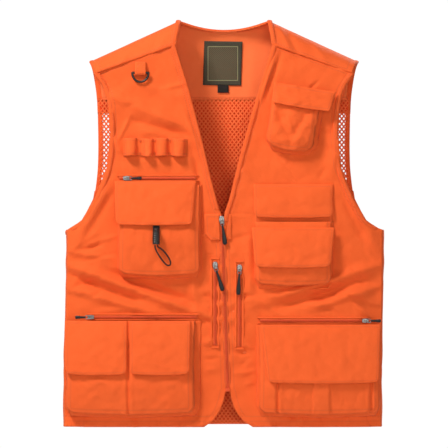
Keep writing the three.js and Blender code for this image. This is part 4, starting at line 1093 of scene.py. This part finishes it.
# zips along the pocket tops
for nm, x0, x1, z, sx, d in (("right_chest", -178, -47, 424.5, -166, 1), ("right_lower", -228, -45, 188.5, -226, -1), ("left_lower", 61, 240, 182.5, 240, 1)):
    yy = lambda a, b: front_y(a, b) - 1.2
    strip(f"{nm}_zip_tape", [(x0, z), ((x0 + x1) / 2, z), (x1, z)], 3.0, yy, "vest_body", replaces=(f"{nm}_zip",), lift=1.0)
    coil(f"{nm}_zip_coil", (x0 + 1, z), (x1 - 1, z), lambda a, b: front_y(a, b) - 2.0, 0, "vest_body", width=1.9, pitch=1.2)
    for e in (-1, 1):
        C = curve([(a, float(front_y(a, z + e * 5)) - 1.3, z + e * 3.2) for a in np.linspace(x0 - 4, x1 + 4, 14)], 80)
        A = np.zeros_like(C)
        A[:, 2] = e
        band(f"{nm}_welt_{'low' if e < 0 else 'top'}", C, A, 3.0 if e > 0 else 2.4, 1.0, M_SHELL, "vest_body", slot="orange_shell", wobble=0.15)
    y = BAGY - 4.6
    slider(f"{nm}_shield", sx, y + 0.4, z, f"{nm}_slider", (f"{nm}_slider",), deg=90.0 * (-d), k=0.82)
    pull(f"{nm}_hang", sx + d * 0.5, y - 3.9, z, 26, 0, f"{nm}_pull", (f"{nm}_pull",), wide=5.8, turn=90.0 * d)

# ------------------------------------------------------------ chest fittings
# four loops sewn from one strip of webbing-like cloth
cells = [(-168, -149), (-136, -121), (-114.5, -96), (-87.5, -67)]
path = [(-171, 0.6)]
for a, b in cells:
    path.append((a - 0.6, 0.8))
    for t in np.linspace(0.06, 0.94, 13):
        ang = math.pi * (1 - t)
        path.append(((a + b) / 2 + (b - a) / 2 * 1.02 * math.cos(ang), 1.4 + 10.4 * math.sin(ang) ** 0.85))
    path.append((b + 0.6, 0.8))
path.append((-62, 0.6))
pc = np.array(path)
P = np.zeros((len(pc), 14, 3))
E = np.zeros((len(pc), 14))
for j, v_ in enumerate(np.linspace(0, 1, 14)):
    z = 492.5 - 30.5 * v_
    P[:, j, 0] = pc[:, 0]
    P[:, j, 2] = z + 0.8 * np.sin(pc[:, 0] / 9.0)
    flare = 0.55 + 0.62 * v_ ** 0.8
    P[:, j, 1] = front_y(pc[:, 0], z + 0 * pc[:, 0]) - pc[:, 1] * flare - 0.5
    E[:, j] = min(492.5 - z, z - 462)
o = grid("pen_loop_strip", P, M_SHELL, body="vest_body", replaces=("utility_loops",), ed=E, thick=1.1)
# bar tacks between the loops
for i, x in enumerate((-142.5, -118, -92)):
    V, F = merge([rbox(x + k_ * 0.9, float(front_y(x, z0_)) - 1.9, z0_, 0.7, 0.7, 4.0) for k_ in (-1, 0, 1) for z0_ in (488, 467)])
    mk(f"bar_tack_{i + 1}", V, F, M_TAPE, body="vest_body", smooth=False, bevel=0.15)

# D-ring and its folded tab
R0 = 13.7
ring = [(-R0 * math.cos(t), 0, -R0 * 1.12 * math.sin(t)) for t in np.linspace(0, math.pi, 25)]
ring += [(R0 - 0.9, 0, 0.3)] + [(R0 - 2.5 - k_ * 2.2, 0, 0.0) for k_ in range(11)] + [(-R0 + 0.9, 0, 0.3)]
C = curve([(a, 0, b) for a, _, b in ring], 96, closed=True)
V, F = wire(C, 1.9, 10, closed=True)
V = [(a - 142, b - 38 - 6.2, c + 603.5) for a, b, c in V]
mk("d_ring_moulding", V, F, M_BLACK, body="d_ring", slot="black_plastic", replaces=("d_ring",))
prof = [(0.9, 622.5), (1.6, 619), (3.4, 611), (3.6, 606), (3.5, 601.2), (5.8, 599.2), (8.6, 600.6), (9.2, 604), (9.0, 608), (6.5, 613), (3.2, 619.5), (2.0, 622.8)]
P = np.zeros((9, len(prof), 3))
E = np.zeros((9, len(prof)))
for i, u_ in enumerate(np.linspace(-9.3, 9.3, 9)):
    for j, (d_, z) in enumerate(prof):
        P[i, j] = (-142 + u_, -38 - d_ - 0.3 * (1 - (u_ / 9.3) ** 2), z)
        E[i, j] = min(9.3 - abs(u_), abs(622.8 - z) if j > 6 else 20)
grid("d_ring_loop", P, M_SHELL, body="vest_body", replaces=("d_ring_tab",), ed=E, thick=0.9)

# cord lock: ribbed barrel, sprung plunger, webbing tab and the cord
LX, LY, LZ = -114.5, BAGY - 28.5 - 3.2, 323.0
secs = []
for k_, h in enumerate(np.linspace(-10.7, 10.7, 30)):
    rr = 6.1 + 0.45 * math.cos(h * 2 * math.pi / 3.6) * (1 if abs(h) < 8.6 else 0.2) - (0.9 if abs(h) > 10 else 0)
    sq = 0.82
    secs.append([(LX + rr * math.copysign(abs(math.cos(t)) ** sq, math.cos(t)), LY + rr * 0.98 * math.copysign(abs(math.sin(t)) ** sq, math.sin(t)), LZ + h) for t in np.linspace(0, 2 * math.pi, 24, endpoint=False)])
for r_, h in ((4.4, 10.7), (4.3, -0.8)):
    secs.append([(LX + r_ * math.cos(t), LY + r_ * math.sin(t), LZ + h) for t in np.linspace(0, 2 * math.pi, 24, endpoint=False)])
V, F = loft(secs)
mk("cord_lock_body", V, F, M_BLACK, body="vest_body", slot="black_plastic", replaces=("cord_lock_barrel",))
secs = [[(LX + r_ * math.cos(t), LY + r_ * math.sin(t), LZ + h) for t in np.linspace(0, 2 * math.pi, 20, endpoint=False)] for r_, h in ((3.4, 4.4), (3.8, 5), (3.8, 13.5), (3.9, 14.8), (3.5, 15.8), (2.2, 16.3), (0.4, 16.4))]
V, F = loft(secs)
mk("cord_lock_button", V, F, M_BLACK, body="cord_lock_plunger", slot="black_plastic", replaces=("cord_lock_plunger",))
P = np.zeros((7, 16, 3))
for i, u_ in enumerate(np.linspace(-5.8, 5.8, 7)):
    for j, z in enumerate(np.linspace(345, 317, 16)):
        P[i, j] = (LX + u_, BAGY - 23.4 - 0.5 * math.sin((345 - z) / 9), z)
grid("cord_lock_webbing", P, M_WEB, body="vest_body", slot="black_webbing", replaces=("cord_lock_tab",), thick=1.2)

CORD = [(-116.3, 311.3), (-116.3, 307), (-113, 299), (-106, 288), (-99.5, 280), (-94, 276.5), (-90.3, 279), (-91.5, 286), (-97.5, 296), (-105, 304), (-112.5, 308.8), (-112.5, 311.3)]
#CORDCODE
cu = bpy.data.curves.new("lock_cord", "CURVE")
cu.dimensions = "3D"
pts = curve([(a, LY, b) for a, b in CORD], 30)
sp = cu.splines.new("POLY")
sp.points.add(len(pts) - 1)
for i, p in enumerate(pts):
    sp.points[i].co = (*R(*p), 1)
cu.bevel_depth = 0.0013
cu.bevel_resolution = 3
cu.use_fill_caps = True
cu.materials.append(M_CORD)
cord_o = bpy.data.objects.new("lock_cord", cu)
bpy.context.scene.collection.objects.link(cord_o)
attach(cord_o, "vest_body")
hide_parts("cord_loop")
R(*pts[0])

# ------------------------------------------------------------------- label
def label_material():
    """Woven label: an olive ground, a pale thin frame, and a plain grid of khaki threads."""
    m, nt, b = new_material("woven_label")
    L = nt.links
    tc = N(nt, "ShaderNodeTexCoord")
    sep = N(nt, "ShaderNodeSeparateXYZ")
    L.new(tc.outputs["Object"], sep.inputs[0])
    x, _, z = sep.outputs
    cx, cz = R(-2.0, 0, 620)[0], R(0, 0, 623.4)[2]
    ax = math_node(nt, "ABSOLUTE", math_node(nt, "SUBTRACT", x, cx))
    az = math_node(nt, "ABSOLUTE", math_node(nt, "SUBTRACT", z, cz))
    fx, fz = math_node(nt, "DIVIDE", ax, 0.0255), math_node(nt, "DIVIDE", az, 0.0290)
    d = math_node(nt, "MAXIMUM", fx, fz)
    frame_line = math_node(nt, "LESS_THAN", math_node(nt, "ABSOLUTE", math_node(nt, "SUBTRACT", d, 1.0)), 0.028)
    inside = math_node(nt, "LESS_THAN", d, 0.93)
    gx = math_node(nt, "SINE", math_node(nt, "MULTIPLY", x, 2 * math.pi / 0.0034))
    gz = math_node(nt, "SINE", math_node(nt, "MULTIPLY", z, 2 * math.pi / 0.0034))
    g = math_node(nt, "GREATER_THAN", math_node(nt, "MULTIPLY", gx, gz), 0.05)
    nz = N(nt, "ShaderNodeTexNoise", Scale=420.0, Detail=3.0)
    L.new(tc.outputs["Object"], nz.inputs["Vector"])
    ground = mix_rgb(nt, nz.outputs[0], (0.028, 0.024, 0.010), (0.062, 0.050, 0.022))
    khaki = mix_rgb(nt, g, (0.058, 0.043, 0.017), (0.112, 0.083, 0.035))
    col = mix_rgb(nt, inside, ground, khaki)
    col = mix_rgb(nt, math_node(nt, "MULTIPLY", frame_line, 0.7), col, (0.30, 0.29, 0.13))
    L.new(col, b.inputs["Base Color"])
    b.inputs["Roughness"].default_value = 0.7
    th = math_node(nt, "MULTIPLY", math_node(nt, "SINE", math_node(nt, "MULTIPLY", x, 2 * math.pi / 0.0006)), math_node(nt, "SINE", math_node(nt, "MULTIPLY", z, 2 * math.pi / 0.0005)))
    h = math_node(nt, "ADD", th, math_node(nt, "MULTIPLY", g, 0.8))
    bn = N(nt, "ShaderNodeBump", Strength=0.4, Distance=0.0003)
    L.new(h, bn.inputs["Height"])
    L.new(bn.outputs[0], b.inputs["Normal"])
    return m


def lining_front(x, z):
    """y of the yoke lining at a point."""
    i = np.argmin(np.abs(LINING[:, -1, 0] - x))
    col = LINING[i]
    o_ = np.argsort(col[:, 2])
    return float(np.interp(z, col[o_, 2], col[o_, 1]))


P = np.zeros((24, 26, 3))
for i, u_ in enumerate(np.linspace(0, 1, 24)):
    for j, v_ in enumerate(np.linspace(0, 1, 26)):
        x = (-34 + 66 * u_) * (1 - v_) + (-36.5 + 66 * u_) * v_
        z = 662.0 - 1.2 * u_ + (585.4 - 661.0) * v_
        P[i, j] = (x, lining_front(x, z) - 1.9 - 0.25 * wavy(x, z, 30, 8), z)
grid("label_cloth", P, label_material(), body="vest_body", slot="label_cloth", replaces=("label_patch",), thick=0.7)
P = np.zeros((8, 10, 3))
for i, u_ in enumerate(np.linspace(-11, 8, 8)):
    for j, z in enumerate(np.linspace(588.5, 573.0, 10)):
        P[i, j] = (u_, lining_front(u_, z) - 1.7 - 0.06 * (588.5 - z), z)
grid("size_tab", P, M_WEB, body="vest_body", slot="label_cloth", thick=0.5)

# a loop over the CAD nodes that still show; it changes nothing
for nm, o in NODES.items():
    pass

# ------------------------------------------------------- floor, light, look
bpy.ops.mesh.primitive_circle_add(vertices=96, radius=2.2, fill_type="NGON", location=(0, 0, -1.05))
floor = bpy.context.object
floor.name = "floor"
fm, fnt, fb = new_material("floor_paint")
fn = N(fnt, "ShaderNodeTexNoise", Scale=3.0, Detail=2.0)
ftc = N(fnt, "ShaderNodeTexCoord")
fnt.links.new(ftc.outputs["Object"], fn.inputs["Vector"])
fnt.links.new(mix_rgb(fnt, fn.outputs[0], (0.86, 0.86, 0.855), (0.80, 0.80, 0.80)), fb.inputs["Base Color"])
fb.inputs["Roughness"].default_value = 0.9
floor.data.materials.append(fm)

world = bpy.data.worlds.new("world")
bpy.context.scene.world = world
world.use_nodes = True
wnt = world.node_tree
bg = wnt.nodes.get("Background") or wnt.nodes.new("ShaderNodeBackground")
wtc = wnt.nodes.new("ShaderNodeTexCoord")
wsep = wnt.nodes.new("ShaderNodeSeparateXYZ")
wnt.links.new(wtc.outputs["Generated"], wsep.inputs[0])
# a white wall all round at eye level, brightest behind the vest; a dimmer ceiling and floor
level = math_node(wnt, "ABSOLUTE", wsep.outputs[2])
level = math_node(wnt, "SMOOTH_MAX", math_node(wnt, "SUBTRACT", 1.0, math_node(wnt, "MULTIPLY", math_node(wnt, "SUBTRACT", level, 0.14), 3.6)), 0.0, 0.1, clamp=True)
rear = math_node(wnt, "ADD", 0.5, math_node(wnt, "MULTIPLY", math_node(wnt, "SUBTRACT", wsep.outputs[1], 0.35), 1.6), clamp=True)
wall = math_node(wnt, "ADD", 0.50, math_node(wnt, "MULTIPLY", rear, 0.52))
strength = math_node(wnt, "ADD", 0.08, math_node(wnt, "MULTIPLY", level, math_node(wnt, "SUBTRACT", wall, 0.08)))
wnt.links.new(strength, bg.inputs[1])
bg.inputs[0].default_value = (1.0, 1.0, 1.0, 1)


def area(name, loc, target, size, energy, color=(1, 1, 1)):
    d = bpy.data.lights.new(name, "AREA")
    d.shape = "DISK"
    d.size = size
    d.energy = energy
    d.color = color
    o = bpy.data.objects.new(name, d)
    bpy.context.scene.collection.objects.link(o)
    o.location = loc
    o.rotation_euler = (Vector(target) - Vector(loc)).to_track_quat("-Z", "Y").to_euler()
    return o


area("key", (-1.15, -1.25, 1.45), (0, 0, -0.34), 0.6, 58)
area("front", (0.3, -3.0, 0.25), (0, 0, -0.3), 1.3, 22)
area("rear", (1.1, 2.2, 1.2), (0, 0, -0.34), 0.9, 52)

sc = bpy.context.scene
sc.view_settings.view_transform = "Standard"
sc.view_settings.look = "None"
sc.view_settings.exposure = 0.0
sc.view_settings.gamma = 1.0
